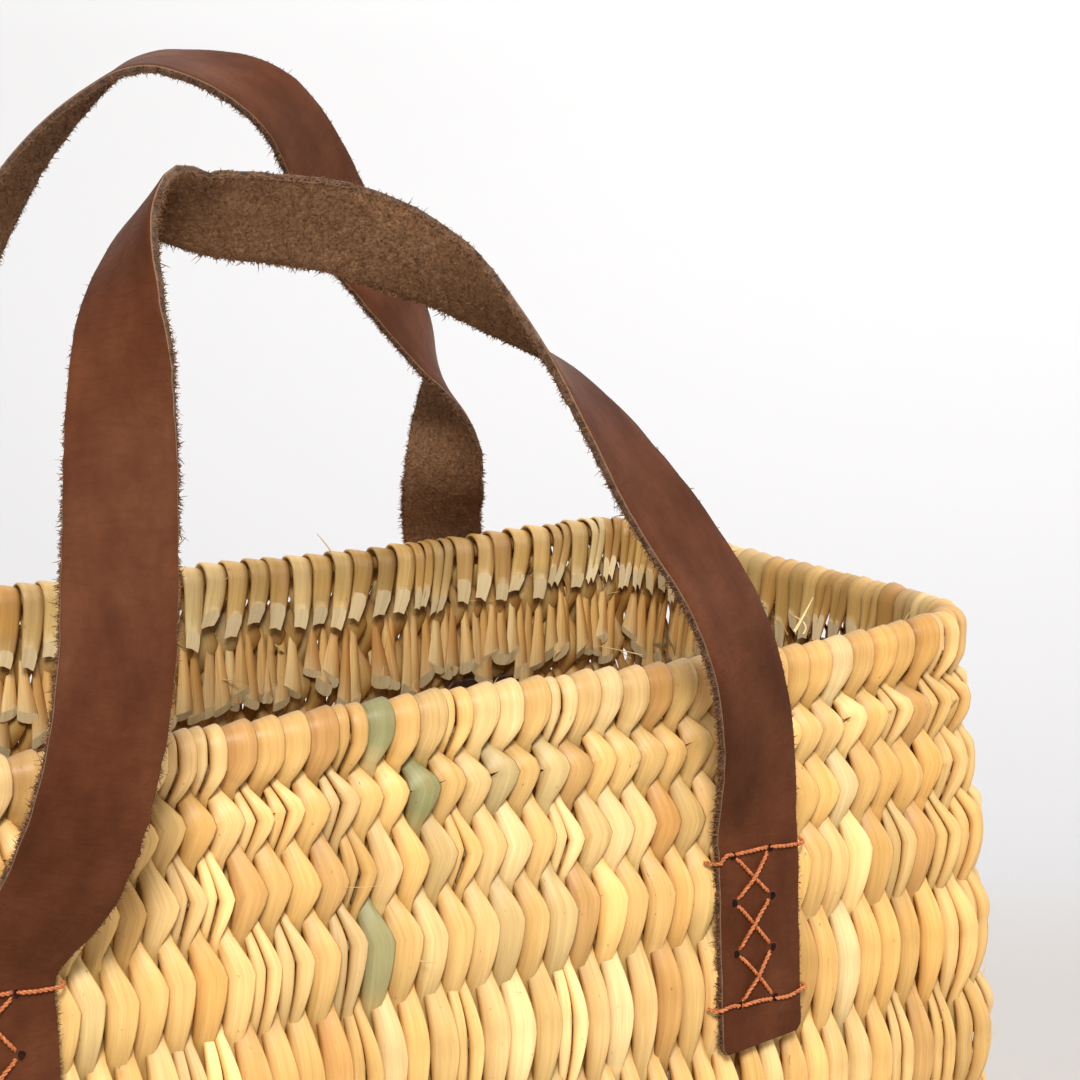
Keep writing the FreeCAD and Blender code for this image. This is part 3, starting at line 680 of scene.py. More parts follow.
def suede_material(name, dark, mid, light):
    m, nt, b = nodes_of(name)
    along = attr(nt, "Along").outputs["Vector"]
    n1 = noise(nt, along, 900.0, 5.0, 0.75)
    n2 = noise(nt, along, 320.0, 4.0, 0.7, 0.8)
    n3 = noise(nt, scaled(nt, along, (60.0, 40.0, 9.0)), 1.0, 3.0, 0.6)
    c = mix_rgb(nt, ramp(nt, n1, (0.34, 0.66, 0.0, 1.0)), dark, light)
    c = mix_rgb(nt, ramp(nt, n2, (0.30, 0.72, 0.0, 0.8)), c, mid)
    c = mix_rgb(nt, ramp(nt, n3, (0.35, 0.75, 0.0, 0.35)), c, dark)
    nt.links.new(c, b.inputs["Base Color"])
    b.inputs["Roughness"].default_value = 0.95
    b.inputs["Specular IOR Level"].default_value = 0.1
    b.inputs["Sheen Weight"].default_value = 0.35
    b.inputs["Sheen Roughness"].default_value = 0.45
    b.inputs["Sheen Tint"].default_value = (light[0], light[1], light[2], 1.0)
    h = bump(nt, n1, 0.0012, 1.0)
    h = bump(nt, n2, 0.0022, 0.9, h)
    nt.links.new(h, b.inputs["Normal"])
    return m


def edge_material():
    m, nt, b = nodes_of("leather_edge")
    along = attr(nt, "Along").outputs["Vector"]
    n1 = noise(nt, scaled(nt, along, (2600.0, 260.0, 9.0)), 1.0, 3.0, 0.7)
    n2 = noise(nt, along, 700.0, 4.0, 0.7)
    c = mix_rgb(nt, ramp(nt, n1, (0.35, 0.68, 0.0, 1.0)), tuple(lin((44, 30, 22))), tuple(lin((124, 94, 72))))
    c = mix_rgb(nt, ramp(nt, n2, (0.4, 0.7, 0.0, 0.7)), c, tuple(lin((66, 44, 32))))
    # a paler line under the grain, fibres next to the flesh side
    across = nt.nodes.new("ShaderNodeSeparateColor")
    nt.links.new(attr(nt, "Tint").outputs["Color"], across.inputs["Color"])
    c = mix_rgb(nt, ramp(nt, across.outputs[0], (0.70, 0.86, 0.0, 0.55)), c, tuple(lin((158, 120, 90))))
    c = mix_rgb(nt, ramp(nt, across.outputs[0], (0.10, 0.34, 0.70, 0.0)), c, tuple(lin((128, 92, 66))))
    nt.links.new(c, b.inputs["Base Color"])
    b.inputs["Roughness"].default_value = 0.85
    h = bump(nt, n1, 0.0006, 0.9)
    h = bump(nt, n2, 0.0008, 0.7, h)
    nt.links.new(h, b.inputs["Normal"])
    return m


def plain_fibre(name, c0, c1, rough=0.8):
    m, nt, b = nodes_of(name)
    along = attr(nt, "Along").outputs["Vector"]
    n1 = noise(nt, along, 260.0, 3.0, 0.6)
    c = mix_rgb(nt, ramp(nt, n1, (0.35, 0.68, 0.0, 1.0)), tuple(c0), tuple(c1))
    nt.links.new(c, b.inputs["Base Color"])
    b.inputs["Roughness"].default_value = rough
    b.inputs["Specular IOR Level"].default_value = 0.08
    return m


def thread_material():
    m, nt, b = nodes_of("thread")
    along = attr(nt, "Along").outputs["Vector"]
    n1 = noise(nt, scaled(nt, along, (900.0, 500.0, 50.0)), 1.0, 3.0, 0.6)
    c = mix_rgb(nt, ramp(nt, n1, (0.3, 0.72, 0.0, 1.0)), tuple(lin((150, 72, 26))), tuple(lin((214, 126, 66))))
    nt.links.new(c, b.inputs["Base Color"])
    b.inputs["Roughness"].default_value = 0.42
    b.inputs["Specular IOR Level"].default_value = 0.6
    nt.links.new(bump(nt, n1, 0.0003, 0.8), b.inputs["Normal"])
    return m


M_REED = reed_material()
M_CORD = cord_material()
M_GRAIN = grain_material()
M_SUEDE = suede_material("leather_flesh", tuple(lin((84, 55, 36))), tuple(lin((138, 98, 68))), tuple(lin((198, 152, 113))))
M_EDGE = edge_material()
M_FUZZ = plain_fibre("leather_fuzz", lin((78, 50, 33)), lin((158, 116, 82)), 0.95)
M_PATCH = suede_material("patch_suede", tuple(lin((46, 28, 20))), tuple(lin((66, 42, 31))), tuple(lin((92, 62, 47))))
M_THREAD = thread_material()
# painted shade: near-black colour for the shade down inside the punched holes
M_HOLE_SHADE = plain_fibre("punched_hole_shade", lin((26, 15, 10)), lin((44, 26, 17)), 0.9)


# measured places: x of the greener floats' crests (mm), and loose slivers as
# (arc length, depth, inside?, (along, out, up), length, half width)
GREEN_X = (-1.2, 5.6, -10.8)
BACK_0 = LENS[0] + ARC + LENS[2] + ARC
SLIVERS = [
    (BACK_0 + SX - 0.0772, -0.0005, True, (0.6, 0.1, 1.0), 0.009, 0.0009),
    (SX + 0.1477, 0.0005, True, (0.9, -0.2, 0.9), 0.012, 0.0008),
    (SX + 0.1510, 0.0015, True, (1.0, -0.3, 0.55), 0.010, 0.0005),
    (SX + 0.1450, 0.0010, True, (-0.3, -0.2, 1.0), 0.007, 0.0004),
    (BACK_0 + SX - 0.0584, 0.037, True, (0.5, -0.9, 0.5), 0.011, 0.0008),
    (BACK_0 + SX - 0.0320, 0.044, True, (-0.7, -0.9, 0.1), 0.012, 0.0007),
    (SX + 0.0899, 0.0010, True, (-1.0, -0.2, 0.35), 0.010, 0.0006),
    (SX + 0.0860, 0.0015, True, (-0.9, -0.4, 0.6), 0.007, 0.0004),
]


# ------------------------------------------------------------------ build the wall
MIDDLE_FRONT = SX          # arc length where x = 0 on the front wall
# reeds that are greener in one float: arc length of the float's crest, hoop number, colour
GREEN_FLOATS = [(SX + GREEN_X[0] * MM, 0, (158, 156, 108)), (SX + GREEN_X[1] * MM, 1, (154, 152, 104)),
                (SX + GREEN_X[2] * MM, 3, (164, 158, 112))]


def crest_s(i, k, side0):
    sgn = side0 * (1 if k % 2 == 0 else -1)
    return (i + 0.5) * PITCH + DELTA[k] * sgn


green_of = {}
for sc, k, col in GREEN_FLOATS:
    best = None
    for i in range(REEDS):
        side0 = -1 if i % 2 == 0 else 1
        if side0 * (1 if k % 2 == 0 else -1) > 0:
            e = abs(crest_s(i, k, side0) - sc)
            if best is None or e < best[0]:
                best = (e, i)
    green_of.setdefault(best[1], []).append((k, lin(col)))

# arc lengths covered by the sewn ends, where the wall lies flat under the leather
TAB_X = {"front_left": -122.0, "front_right": 120.2, "back_left": -124.0, "back_right": 145.0}
for name, x in TAB_X.items():
    s_mid = SX + x * MM if name.startswith("front") else LENS[0] + ARC + LENS[2] + ARC + (SX - x * MM)
    j = np.arange(1024)
    sj = (j + 0.5) / 1024 * PERIM
    g = np.clip((np.abs(sj - s_mid) - 0.018) / 0.02, 0, 1)
    WALL_WAVE[:] = WALL_WAVE * g + np.minimum(WALL_WAVE, 0) * (1 - g) * 0.2

groups = {}
names = ["front_reeds", "front_right_corner_reeds", "right_end_reeds", "back_right_corner_reeds",
         "back_reeds", "back_left_corner_reeds", "left_end_reeds", "front_left_corner_reeds"]


def segment(s):
    acc = 0.0
    s = s % PERIM
    for k, L in enumerate(LENS):
        acc += L
        if s <= acc:
            return k
    return 7


def tint(g, i):
    c = PAL_C[g.choice(len(PAL_W), p=PAL_W)].copy()
    c *= 1 + g.normal(0, 0.05)
    c *= 1 + np.array([0.0, 1.0, 2.2]) * g.normal(0, 0.018)
    return c


stub_count = 0
for i in range(REEDS):
    g = np.random.default_rng(9000 + i)
    side0 = -1 if i % 2 == 0 else 1
    s0 = (i + 0.5) * PITCH + g.normal(0, 0.25) * MM
    k_seg = segment((i + 0.5) * PITCH)
    ms = groups.setdefault(k_seg, Mesher())
    rows, hoops, sg = reed_path(side0, g)
    off, r, d, half, lean = rows.T.copy()
    corner = k_seg % 2 == 1
    base_c = tint(g, i)
    n = len(rows)
    # colour by float
    fc = np.array([1.02 + g.normal(0, 0.072) for _ in range(9)])
    hue = np.array([g.normal(0, 0.02) for _ in range(9)])
    kf = np.argmin(np.abs(d[:, None] - hoops[None, :]), 1)
    col = np.ones((n, 4))
    for q in range(3):
        col[:, q] = base_c[q] * fc[kf] * (1 + [0.0, 1.0, 2.0][q] * hue[kf])
    for k, c in green_of.get(i, []):
        w = np.clip(1.6 - np.abs(d - hoops[k]) / (0.5 * (hoops[min(k + 1, 8)] - hoops[k])) * 1.0, 0, 1)[:, None]
        if k == 0:
            w = np.clip(1.5 - np.abs(d - 0.0057) / 0.011, 0, 1)[:, None]
        col[:, :3] = col[:, :3] * (1 - w) + np.array(c) * (0.93 + 0.14 * g.random()) * w
    # painted shade where a reed dives between its neighbours: its colour is darkened by how far in it lies
    inside = np.clip(1 - (r - flare(d)) / STAND, 0, 2) * 0.5
    col[:, :3] *= (1 - 0.36 * inside)[:, None]
    # painted shade: the wraps over the rim are painted a shade darker and browner, to tone down the light on their
    # top-facing surfaces
    over_rim_shade = np.clip(1.3 - d / 0.010, 0, 1)[:, None]
    col[:, :3] *= 1 - over_rim_shade * np.array([0.17, 0.20, 0.21])
    # less blue in the same places, part of the painted shade
    col[:, 2] *= 1 - 0.08 * inside
    z = HEIGHT - d
    if side0 > 0:
        # the pith shows where the reed was cut off
        pale = (0.55 * np.clip((np.array([0.0, 1, 2, 3, 4]) * -0.30 + 0.75), 0, 1))[:, None]
        col[:5, :3] = col[:5, :3] * (1 - pale) + PITH * 0.9 * pale
        cut_col = PITH * g.uniform(0.72, 0.98)
        sl = (g.normal(0, 0.9) * MM, -g.uniform(4.0, 7.0) * MM)
    else:
        cut_col = PITH * g.uniform(0.7, 1.0)
        sl = (g.normal(0, 0.8) * MM, -1.2 * MM)
    split = g.random() < 0.14 or corner
    if corner:
        # the reeds spread round a corner, more so where it bulges
        half = half * np.clip((MID_R + r) / MID_R, 0.80, 1.85)
    rr = r.copy()
    if split:
        gap = g.uniform(0.50, 0.54)
        for e in (-1, 1):
            c2 = col.copy()
            c2[:, :3] *= 1 + e * g.uniform(0.0, 0.07)
            sweep(ms, s0 + off, rr + e * 0.15 * MM, z - (0.0006 * e if side0 > 0 else 0), half, lean, c2, REED_RING, 0.72 * MM,
                  cut_col, sl, tag=i * 0.37 + e * 0.11, x_shift=e * gap, widen=0.50)
    else:
        sweep(ms, s0 + off, rr, z, half, lean, col, REED_RING, 0.85 * MM * g.uniform(0.9, 1.1), cut_col, sl, tag=i * 0.37)
    # short inner lengths tucked down behind the rim, each with an oblique pale cut
    if g.random() < 0.92:
        stub_count += 1
        d1 = g.normal(0.0535, 0.0035) if g.random() < 0.9 else g.uniform(0.036, 0.05)
        dd = np.linspace(0.0260, d1, 13)
        t = (dd - dd[0]) / (d1 - dd[0])
        rs = flare(dd) - 0.0022 - (0.0048 + g.uniform(0, 0.9) * MM) * t ** 0.8
        so = s0 + g.normal(0, 0.5) * MM + (1.5 + g.normal(1.6, 1.4) * t) * MM
        hw = (0.9 + (2.7 + 0.3 * g.normal()) * t ** 1.1) * MM
        sc = np.ones((13, 4))
        pale = (0.65 * np.clip((t - 0.55) / 0.45, 0, 1) ** 1.2)[:, None]
        sc[:, :3] = tint(g, i) * 0.90 * (1 - pale) + PITH_GREY * 0.9 * pale
        sweep(ms, so, rs, HEIGHT - dd, hw, np.full(13, g.normal(0, 9)), sc, REED_RING, 1.1 * MM, None, (0, 0), tag=i * 0.37 + 5,
              cut_end=PITH_GREY * g.uniform(0.62, 0.95), slant_end=(g.choice([-1, 1]) * g.uniform(0.8, 2.2) * MM, g.uniform(1.8, 3.8) * MM))

reed_objects = []
for k, ms in sorted(groups.items()):
    ob = ms.make("woven_" + names[k], [M_REED])
    reed_objects.append(ob)
    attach(ob, "basket")
    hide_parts(names[k])


# ------------------------------------------------------------------ loose slivers
sliv = Mesher()
thin = lens_ring(4, 2, 0.5)


def sliver(p0, direction, length, curl, width, colour, g):
    n = 9
    t = np.linspace(0, 1, n)
    d = np.array(direction, float)
    d /= np.linalg.norm(d)
    c = np.array(curl, float)
    P = np.array(p0)[None, :] + d[None, :] * (t * length)[:, None] + c[None, :] * (t**2 * length)[:, None]
    T = np.gradient(P, axis=0)
    T /= np.linalg.norm(T, axis=1)[:, None]
    ref = g.normal(0, 1, 3)
    A = np.cross(T, ref)
    A /= np.linalg.norm(A, axis=1)[:, None]
    B = np.cross(T, A)
    w = width * (1 - 0.75 * t**1.5)
    col = np.ones((n, 4))
    col[:, :3] = colour
    along = t * length
    sliv.reed(P, A * w[:, None], B * (w * 0.35)[:, None], T, thin, col, along, w, g.random() * 9, None, (0, 0), None, (0, 0))


g = np.random.default_rng(77)
for s_at, dep, inner, up, L, w in SLIVERS:
    bx, by, nx, ny = [float(v) for v in plan(np.array([s_at]))]
    nrm = np.array([nx, ny, 0.0])
    tan = np.array([-ny, nx, 0.0])
    r0 = float(flare(dep)) + (-0.0052 if inner else 0.0052)
    p0 = np.array([bx, by, 0]) + nrm * r0 + np.array([0, 0, HEIGHT - dep])
    sliver(p0, tan * up[0] + nrm * up[1] + np.array([0, 0, up[2]]), L, tan * g.normal(0, 0.4) + nrm * g.normal(0, 0.3), w,
           lin((238, 214, 160)) * g.uniform(0.8, 1.0), g)
for _ in range(230):
    s_at = g.random() * PERIM
    inner = g.random() < 0.55
    dep = g.uniform(0.002, 0.03) if inner and g.random() < 0.6 else g.uniform(0.015, 0.26)
    bx, by, nx, ny = [float(v) for v in plan(np.array([s_at]))]
    nrm = np.array([nx, ny, 0.0])
    tan = np.array([-ny, nx, 0.0])
    out_way = -1 if inner else 1
    r0 = float(flare(dep)) + out_way * 0.0047
    p0 = np.array([bx, by, 0]) + nrm * r0 + np.array([0, 0, HEIGHT - dep])
    sliver(p0, tan * g.normal(0, 0.7) + nrm * out_way * g.uniform(0.1, 0.7) + np.array([0, 0, g.normal(0, 0.9)]),
           g.uniform(2.0, 6.5) * MM, tan * g.normal(0, 0.5) - nrm * out_way * g.uniform(0, 0.4), g.uniform(0.10, 0.28) * MM,
           lin((236, 208, 150)) * g.uniform(0.75, 1.0), g)
sliv_ob = sliv.make("loose_slivers", [M_REED])
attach(sliv_ob, "basket")


# ------------------------------------------------------------------ cords: two plies twisted, following the wall
def two_ply(ms, P, radius, lay, colour, seed=0, closed=False):
    n = len(P)
    T = np.gradient(P, axis=0)
    if closed:
        T[0] = T[-1] = (P[1] - P[-2]) / 2
    T /= np.linalg.norm(T, axis=1)[:, None]
    ref = np.array([0, 0, 1.0])
    if abs(T[n // 2] @ ref) > 0.8:
        ref = np.array([0, 1.0, 0])
    A = np.cross(T, ref)
    A /= np.linalg.norm(A, axis=1)[:, None]
    B = np.cross(T, A)
    along = np.concatenate([[0], np.cumsum(np.linalg.norm(np.diff(P, axis=0), axis=1))])
    turns = along / lay
    if closed:
        turns *= round(along[-1] / lay) / (along[-1] / lay)
    m = 10
    ph = np.linspace(0, 2 * math.pi, m, endpoint=False)
    col = np.ones((n, 4))
    col[:, :3] = colour
    # one outline with two lobes that turns along the cord
    ring = np.stack([np.cos(ph), np.sin(ph)], -1)
    rad = radius * (0.80 + 0.20 * np.abs(np.cos(ph[None, :] - 2 * math.pi * turns[:, None])) ** 0.8)
    V = P[:, None, :] + (A[:, None, :] * ring[None, :, 0:1] + B[:, None, :] * ring[None, :, 1:2]) * rad[:, :, None]
    base = ms.n
    ms.v.append(V.reshape(-1, 3))
    ms.c.append(np.repeat(col, m, axis=0))
    U = np.zeros((n, m, 3))
    U[:, :, 0] = (ph[None, :] - 2 * math.pi * turns[:, None]) * radius
    U[:, :, 1] = along[:, None]
    U[:, :, 2] = seed
    ms.u.append(U.reshape(-1, 3))
    idx = base + np.arange(n * m).reshape(n, m)
    a, b = idx[:-1], idx[1:]
    ms.f += np.stack([a, np.roll(a, -1, 1), np.roll(b, -1, 1), b], -1).reshape(-1, 4).tolist()
    ms.f.append(idx[0][::-1].tolist())
    ms.f.append(idx[-1].tolist())
    ms.n += n * m


ms = Mesher()
ss = np.linspace(0, PERIM, 700)
P = wall(ss, np.zeros(700), np.full(700, RIM_Z))
P[-1] = P[0]
two_ply(ms, P, 3.0 * MM, 60.0 * MM, lin((150, 112, 66)), 9, closed=True)
ob = ms.make("rim_hoop", [M_REED])
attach(ob, "basket")
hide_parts("rim_core")

for k in range(1, 9):
    ms = Mesher()
    ss = np.linspace(0, PERIM, 700)
    gz = np.random.default_rng(300 + k)
    zz = HEIGHT - HOOPS[k] + smooth_noise(700, 0.0004, 40, 60 + k)
    P = wall(ss, np.full(700, float(flare(HOOPS[k]))), zz)
    P[-1] = P[0]
    two_ply(ms, P, 1.95 * MM, 7.0 * MM, lin((170, 156, 112)), k, closed=True)
    ob = ms.make("twisted_wall_cord_%d" % k, [M_CORD])
    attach(ob, "basket")
    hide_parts("wall_cord_%d" % k)


# ------------------------------------------------------------------ base: reeds woven flat over the lengthwise cords
BASE_Y = [-0.072, -0.036, 0.0, 0.036, 0.072]
MARGIN = 0.0114
BX = HALF_L - MARGIN
MID_Z = 0.0048
cnt = int((2 * BX - 0.004) // PITCH)
bm_ = Mesher()
for i in range(cnt):
    g = np.random.default_rng(500 + i)
    x0 = (i - (cnt - 1) / 2) * PITCH
    side = -1 if (i - cnt // 2) % 2 else 1
    over = max(0.0, abs(x0) + 0.0019 - SX)
    hl = SY + math.sqrt((MID_R - MARGIN) ** 2 - over**2)
    ys = np.linspace(-hl, hl, 66)
    keys_y = [-hl] + BASE_Y + [hl]
    keys_s = [0.0] + [(side if k % 2 else -side) for k in range(5)] + [0.0]
    k = np.clip(np.searchsorted(keys_y, ys) - 1, 0, 5)
    t = (ys - np.take(keys_y, k)) / (np.take(keys_y, k + 1) - np.take(keys_y, k))
    sgn = np.take(keys_s, k) + (np.take(keys_s, k + 1) - np.take(keys_s, k)) * (0.5 - 0.5 * np.cos(math.pi * t))
    lat = np.take(keys_s, k) + (np.take(keys_s, k + 1) - np.take(keys_s, k)) * t
    P = np.stack([x0 + lat * 1.7 * MM + g.normal(0, 0.15) * MM, ys, MID_Z + sgn * 3.35 * MM], -1)
    T = np.gradient(P, axis=0)
    T /= np.linalg.norm(T, axis=1)[:, None]
    A = np.array([1.0, 0, 0]) - T * T[:, 0:1]
    A /= np.linalg.norm(A, axis=1)[:, None]
    B = np.cross(A, T)
    hw = (2.1 + 1.7 * np.abs(lat) ** 1.5) * MM * (1 + g.normal(0, 0.04))
    a = np.radians(18.0 * (1 - np.abs(lat)))[:, None]
    A2, B2 = np.cos(a) * A + np.sin(a) * B, -np.sin(a) * A + np.cos(a) * B
    col = np.ones((66, 4))
    col[:, :3] = tint(g, i) * 0.95
    along = np.concatenate([[0], np.cumsum(np.linalg.norm(np.diff(P, axis=0), axis=1))])
    ring2 = lens_ring(6, 3, 0.55)
    bm_.reed(P, A2 * hw[:, None], B2 * 0.95 * MM, T, ring2, col, along, hw, i * 0.41, None, (0, 0), None, (0, 0))
base_ob = bm_.make("woven_base", [M_REED])
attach(base_ob, "basket")
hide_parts("base_reeds")


# ------------------------------------------------------------------ leather straps
def catmull(P, step):
    P = np.asarray(P, float)
    n = len(P)
    out = []
    for i in range(n - 1):
        p0, p1, p2, p3 = P[max(i - 1, 0)], P[i], P[i + 1], P[min(i + 2, n - 1)]
        L = np.linalg.norm(p2[:3] - p1[:3])
        m = max(1, int(round(L / step)))
        for t in np.linspace(0, 1, m, endpoint=False):
            out.append(0.5 * (2 * p1 + (p2 - p0) * t + (2 * p0 - 5 * p1 + 4 * p2 - p3) * t**2 + (3 * p1 - p0 - 3 * p2 + p3) * t**3))
    out.append(P[-1])
    return np.array(out)


def outer_face(d):
    return HALF_W * 1000 + 8.5 + 0.05 * (d - 71.0) + 4.8


def inner_face(d):
    return outer_face(d) - 9.6


CLEAR = 0.25
ENDS = {"front": (-122.0, 120.2), "back": (-124.0, 145.0)}
SKEW = {"left": -0.6, "right": -1.7}


def strap_path(wall_name):
    side = -1 if wall_name == "front" else 1
    table = np.array(FRONT_STATIONS if wall_name == "front" else BACK_STATIONS, float)
    w0, w1 = table[0, 3:], table[-1, 3:]

    def plate(x, w, depths):
        return [np.r_[x, side * (outer_face(d) + CLEAR + 1.5), HEIGHT * 1000 - d, w] for d in depths]

    xl, xr = ENDS[wall_name]
    rows = plate(xl, w0, [125, 115, 105, 95, 85, 75, 68]) + [r for r in table[1:-1]] + plate(xr, w1, [68, 75, 85, 95, 105, 115, 125])
    # the first and last table rows lie on the plates
    rows.insert(7, np.r_[xl, side * (outer_face(61.5) + CLEAR + 1.5), HEIGHT * 1000 - 61.5, w0])
    rows.insert(len(rows) - 7, np.r_[xr, side * (outer_face(61.5) + CLEAR + 1.5), HEIGHT * 1000 - 61.5, w1])
    R = catmull(rows, 2.4)
    P = R[:, :3]
    T = np.gradient(P, axis=0)
    T /= np.linalg.norm(T, axis=1)[:, None]
    W = R[:, 3:]
    W = W - T * np.sum(W * T, 1)[:, None]
    W /= np.linalg.norm(W, axis=1)[:, None]
    N = np.cross(W, T)
    along = np.concatenate([[0], np.cumsum(np.linalg.norm(np.diff(P, axis=0), axis=1))])
    return P * MM, T, W, N, along * MM


# outline of the strap's section (mm): grain side first, then an edge, the flesh side, the other edge
def strap_outline(half_w, half_t, g_pts=11):
    xs = np.linspace(-half_w + 0.55, half_w - 0.55, g_pts)
    grain = [(x, half_t - 0.10 * (abs(x) / half_w) ** 6) for x in xs]
    right = [(half_w - 0.16, half_t - 0.30), (half_w, half_t - 0.75), (half_w + 0.05, 0.0), (half_w - 0.05, -half_t + 0.45)]
    flesh = [(x, -half_t) for x in xs[::-1]]
    left = [(-half_w + 0.05, -half_t + 0.45), (-half_w - 0.05, 0.0), (-half_w, half_t - 0.75), (-half_w + 0.16, half_t - 0.30)]
    pts = grain + right + flesh + left
    kinds = [0] * (g_pts - 1) + [0] + [2] * 4 + [1] * (g_pts - 1) + [2] * 4 + [0]
    # the segment after the last grain point turns on to the edge
    kinds[g_pts - 1] = 0
    return np.array(pts), kinds


def ribbon(ms, mats, P, W, N, along, half_w, half_t, seed, cap0=False, cap1=False, skew0=0.0, skew1=0.0, rough=1.0):
    out, kinds = strap_outline(half_w, half_t)
    n, m = len(P), len(out)
    g = np.random.default_rng(seed)
    # the cut edges wander a little, the same for both faces of one edge
    span = along / 0.004
    nl = np.interp(span, np.arange(400), g.normal(0, 0.16, 400)) * rough
    nr = np.interp(span, np.arange(400), g.normal(0, 0.16, 400)) * rough
    X = np.repeat(out[None, :, 0], n, 0)
    Y = np.repeat(out[None, :, 1], n, 0)
    edge = np.clip((np.abs(X) - half_w * 0.7) / (half_w * 0.3), 0, 1)
    X = X + edge * np.where(X > 0, nr[:, None], nl[:, None])
    flesh = np.array([0.0] * m)
    flesh[11:] = 1.0
    Y = Y + (out[None, :, 1] < 0) * g.normal(0, 0.10, (n, m)) * rough
    if cap0 or cap1:
        # rounded-off corners at a free end
        for end, sgn in ((0, 1), (n - 1, -1)):
            if (end == 0 and not cap0) or (end and not cap1):
                continue
            for j, f in ((0, 0.90), (1, 0.985)):
                X[end + sgn * j] *= f
    V = P[:, None, :] + W[:, None, :] * X[:, :, None] * MM + N[:, None, :] * Y[:, :, None] * MM
    T = np.gradient(P, axis=0)
    T /= np.linalg.norm(T, axis=1)[:, None]
    for cap, skew, end in ((cap0, skew0, 0), (cap1, skew1, 1)):
        if cap and skew:
            dist = along - along[0] if end == 0 else along[-1] - along
            fade = np.clip(1 - dist / 0.012, 0, 1)
            V += (T[:, None, :] * (X[:, :, None] / half_w) * skew * MM) * fade[:, None, None]
    base = ms.n
    ms.v.append(V.reshape(-1, 3))
    cc = np.ones((n, m, 4)) * 0.5
    cc[:, :, 0] = 0.5 + 0.5 * out[None, :, 1] / half_t
    ms.c.append(cc.reshape(-1, 4))
    U = np.zeros((n, m, 3))
    U[:, :, 0] = out[None, :, 0] * MM
    U[:, :, 1] = along[:, None]
    U[:, :, 2] = seed * 0.13 + out[None, :, 1] * MM
    ms.u.append(U.reshape(-1, 3))
    idx = base + np.arange(n * m).reshape(n, m)
    for i in range(n - 1):
        for j in range(m):
            k = (j + 1) % m
            ms.f.append([int(idx[i, j]), int(idx[i, k]), int(idx[i + 1, k]), int(idx[i + 1, j])])
            mats.append(kinds[j])
    ms.n += n * m
    for cap, end in ((cap0, 0), (cap1, n - 1)):
        if cap:
            face = [ms.n + q for q in range(m)]
            ms.v.append(V[end].copy())
            ms.c.append(np.ones((m, 4)) * 0.5)
            uu = np.zeros((m, 3))
            uu[:, 0] = V[end][:, 2] + out[:, 1] * MM
            uu[:, 1] = out[:, 0] * MM
            uu[:, 2] = seed
            ms.u.append(uu)
            ms.n += m
            # one face closes the end
            half_n = m // 2
            ms.f.append(face[::-1] if end == 0 else face)
            mats.append(2)
    return V


def fuzz(ms, mats, V, W, N, g, count, flesh=0.0, mat=3):
    """Short leather fibres standing off the cut edges, and the nap of the flesh side."""
    n, m = V.shape[:2]
    u = g.random(count) * (n - 1.001)
    i = u.astype(int)
    f = (u - i)[:, None]
    on_flesh = g.random(count) < flesh
    right = g.random(count) < 0.5
    j = np.where(right, g.choice([12, 13, 14, 14, 15, 15], count), g.choice([25, 25, 26, 26, 27, 28], count))
    j = np.where(on_flesh, 15 + (g.random(count) * 10).astype(int), j)
    across = np.where(on_flesh, g.random(count), 0.0)[:, None]
    p0 = V[i, j] * (1 - f) + V[i + 1, j] * f
    p1 = V[i, (j + 1) % m] * (1 - f) + V[i + 1, (j + 1) % m] * f
    p = p0 * (1 - across) + p1 * across
    T = V[i + 1, j] - V[i, j]
    T /= np.linalg.norm(T, axis=1)[:, None] + 1e-12
    sgn = np.where(right, 1.0, -1.0)[:, None]
    way_e = W[i] * sgn + N[i] * g.normal(-0.45, 0.5, count)[:, None] + T * g.normal(0, 0.8, count)[:, None]
    way_f = -N[i] * g.uniform(0.35, 1.0, count)[:, None] + W[i] * g.normal(0, 1.0, count)[:, None] + T * g.normal(0, 1.0, count)[:, None]
    d = np.where(on_flesh[:, None], way_f, way_e)
    d /= np.linalg.norm(d, axis=1)[:, None]
    L = np.where(on_flesh, g.uniform(0.6, 1.3, count), np.minimum(0.55 + g.exponential(0.35, count), 1.9)) * MM
    curl = g.normal(0, 0.7, (count, 3))
    t = np.array([-0.15, 0.35, 0.7, 1.0])
    P = p[:, None, :] + (d[:, None, :] * t[None, :, None] + curl[:, None, :] * (np.clip(t, 0, 1) ** 2)[None, :, None] * 0.6) * L[:, None, None]
    TT = np.gradient(P, axis=1)
    TT /= np.linalg.norm(TT, axis=2)[:, :, None] + 1e-12
    A = np.cross(TT, np.array([0.31, 0.22, 0.93]))
    A /= np.linalg.norm(A, axis=2)[:, :, None] + 1e-12
    B = np.cross(TT, A)
    w = (g.uniform(0.10, 0.20, count) * MM)[:, None] * np.array([1.0, 0.9, 0.7, 0.3])[None, :]
    ring = np.array([(1, 0), (-0.5, 0.87), (-0.5, -0.87)])
    VV = P[:, :, None, :] + (A[:, :, None, :] * ring[None, None, :, 0:1] + B[:, :, None, :] * ring[None, None, :, 1:2]) * w[:, :, None, None]
    base = ms.n
    ms.v.append(VV.reshape(-1, 3))
    ms.c.append(np.ones((12 * count, 4)) * 0.5)
    uu = np.zeros((count, 12, 3))
    uu[:, :, 1] = g.random(count)[:, None] * 3.0
    uu[:, :, 2] = 3.0
    ms.u.append(uu.reshape(-1, 3))
    quads = []
    for a in range(3):
        for b in range(3):
            c = (b + 1) % 3
            quads.append([a * 3 + b, a * 3 + c, a * 3 + 3 + c, a * 3 + 3 + b])
    first = base + 12 * np.arange(count)
    ms.f += (first[:, None, None] + np.array(quads)[None, :, :]).reshape(-1, 4).tolist()
    ms.f += (first[:, None] + np.array([[2, 1, 0]])).tolist()
    ms.f += (first[:, None] + np.array([[9, 10, 11]])).tolist()
    mats += [mat] * (11 * count)
    ms.n += 12 * count


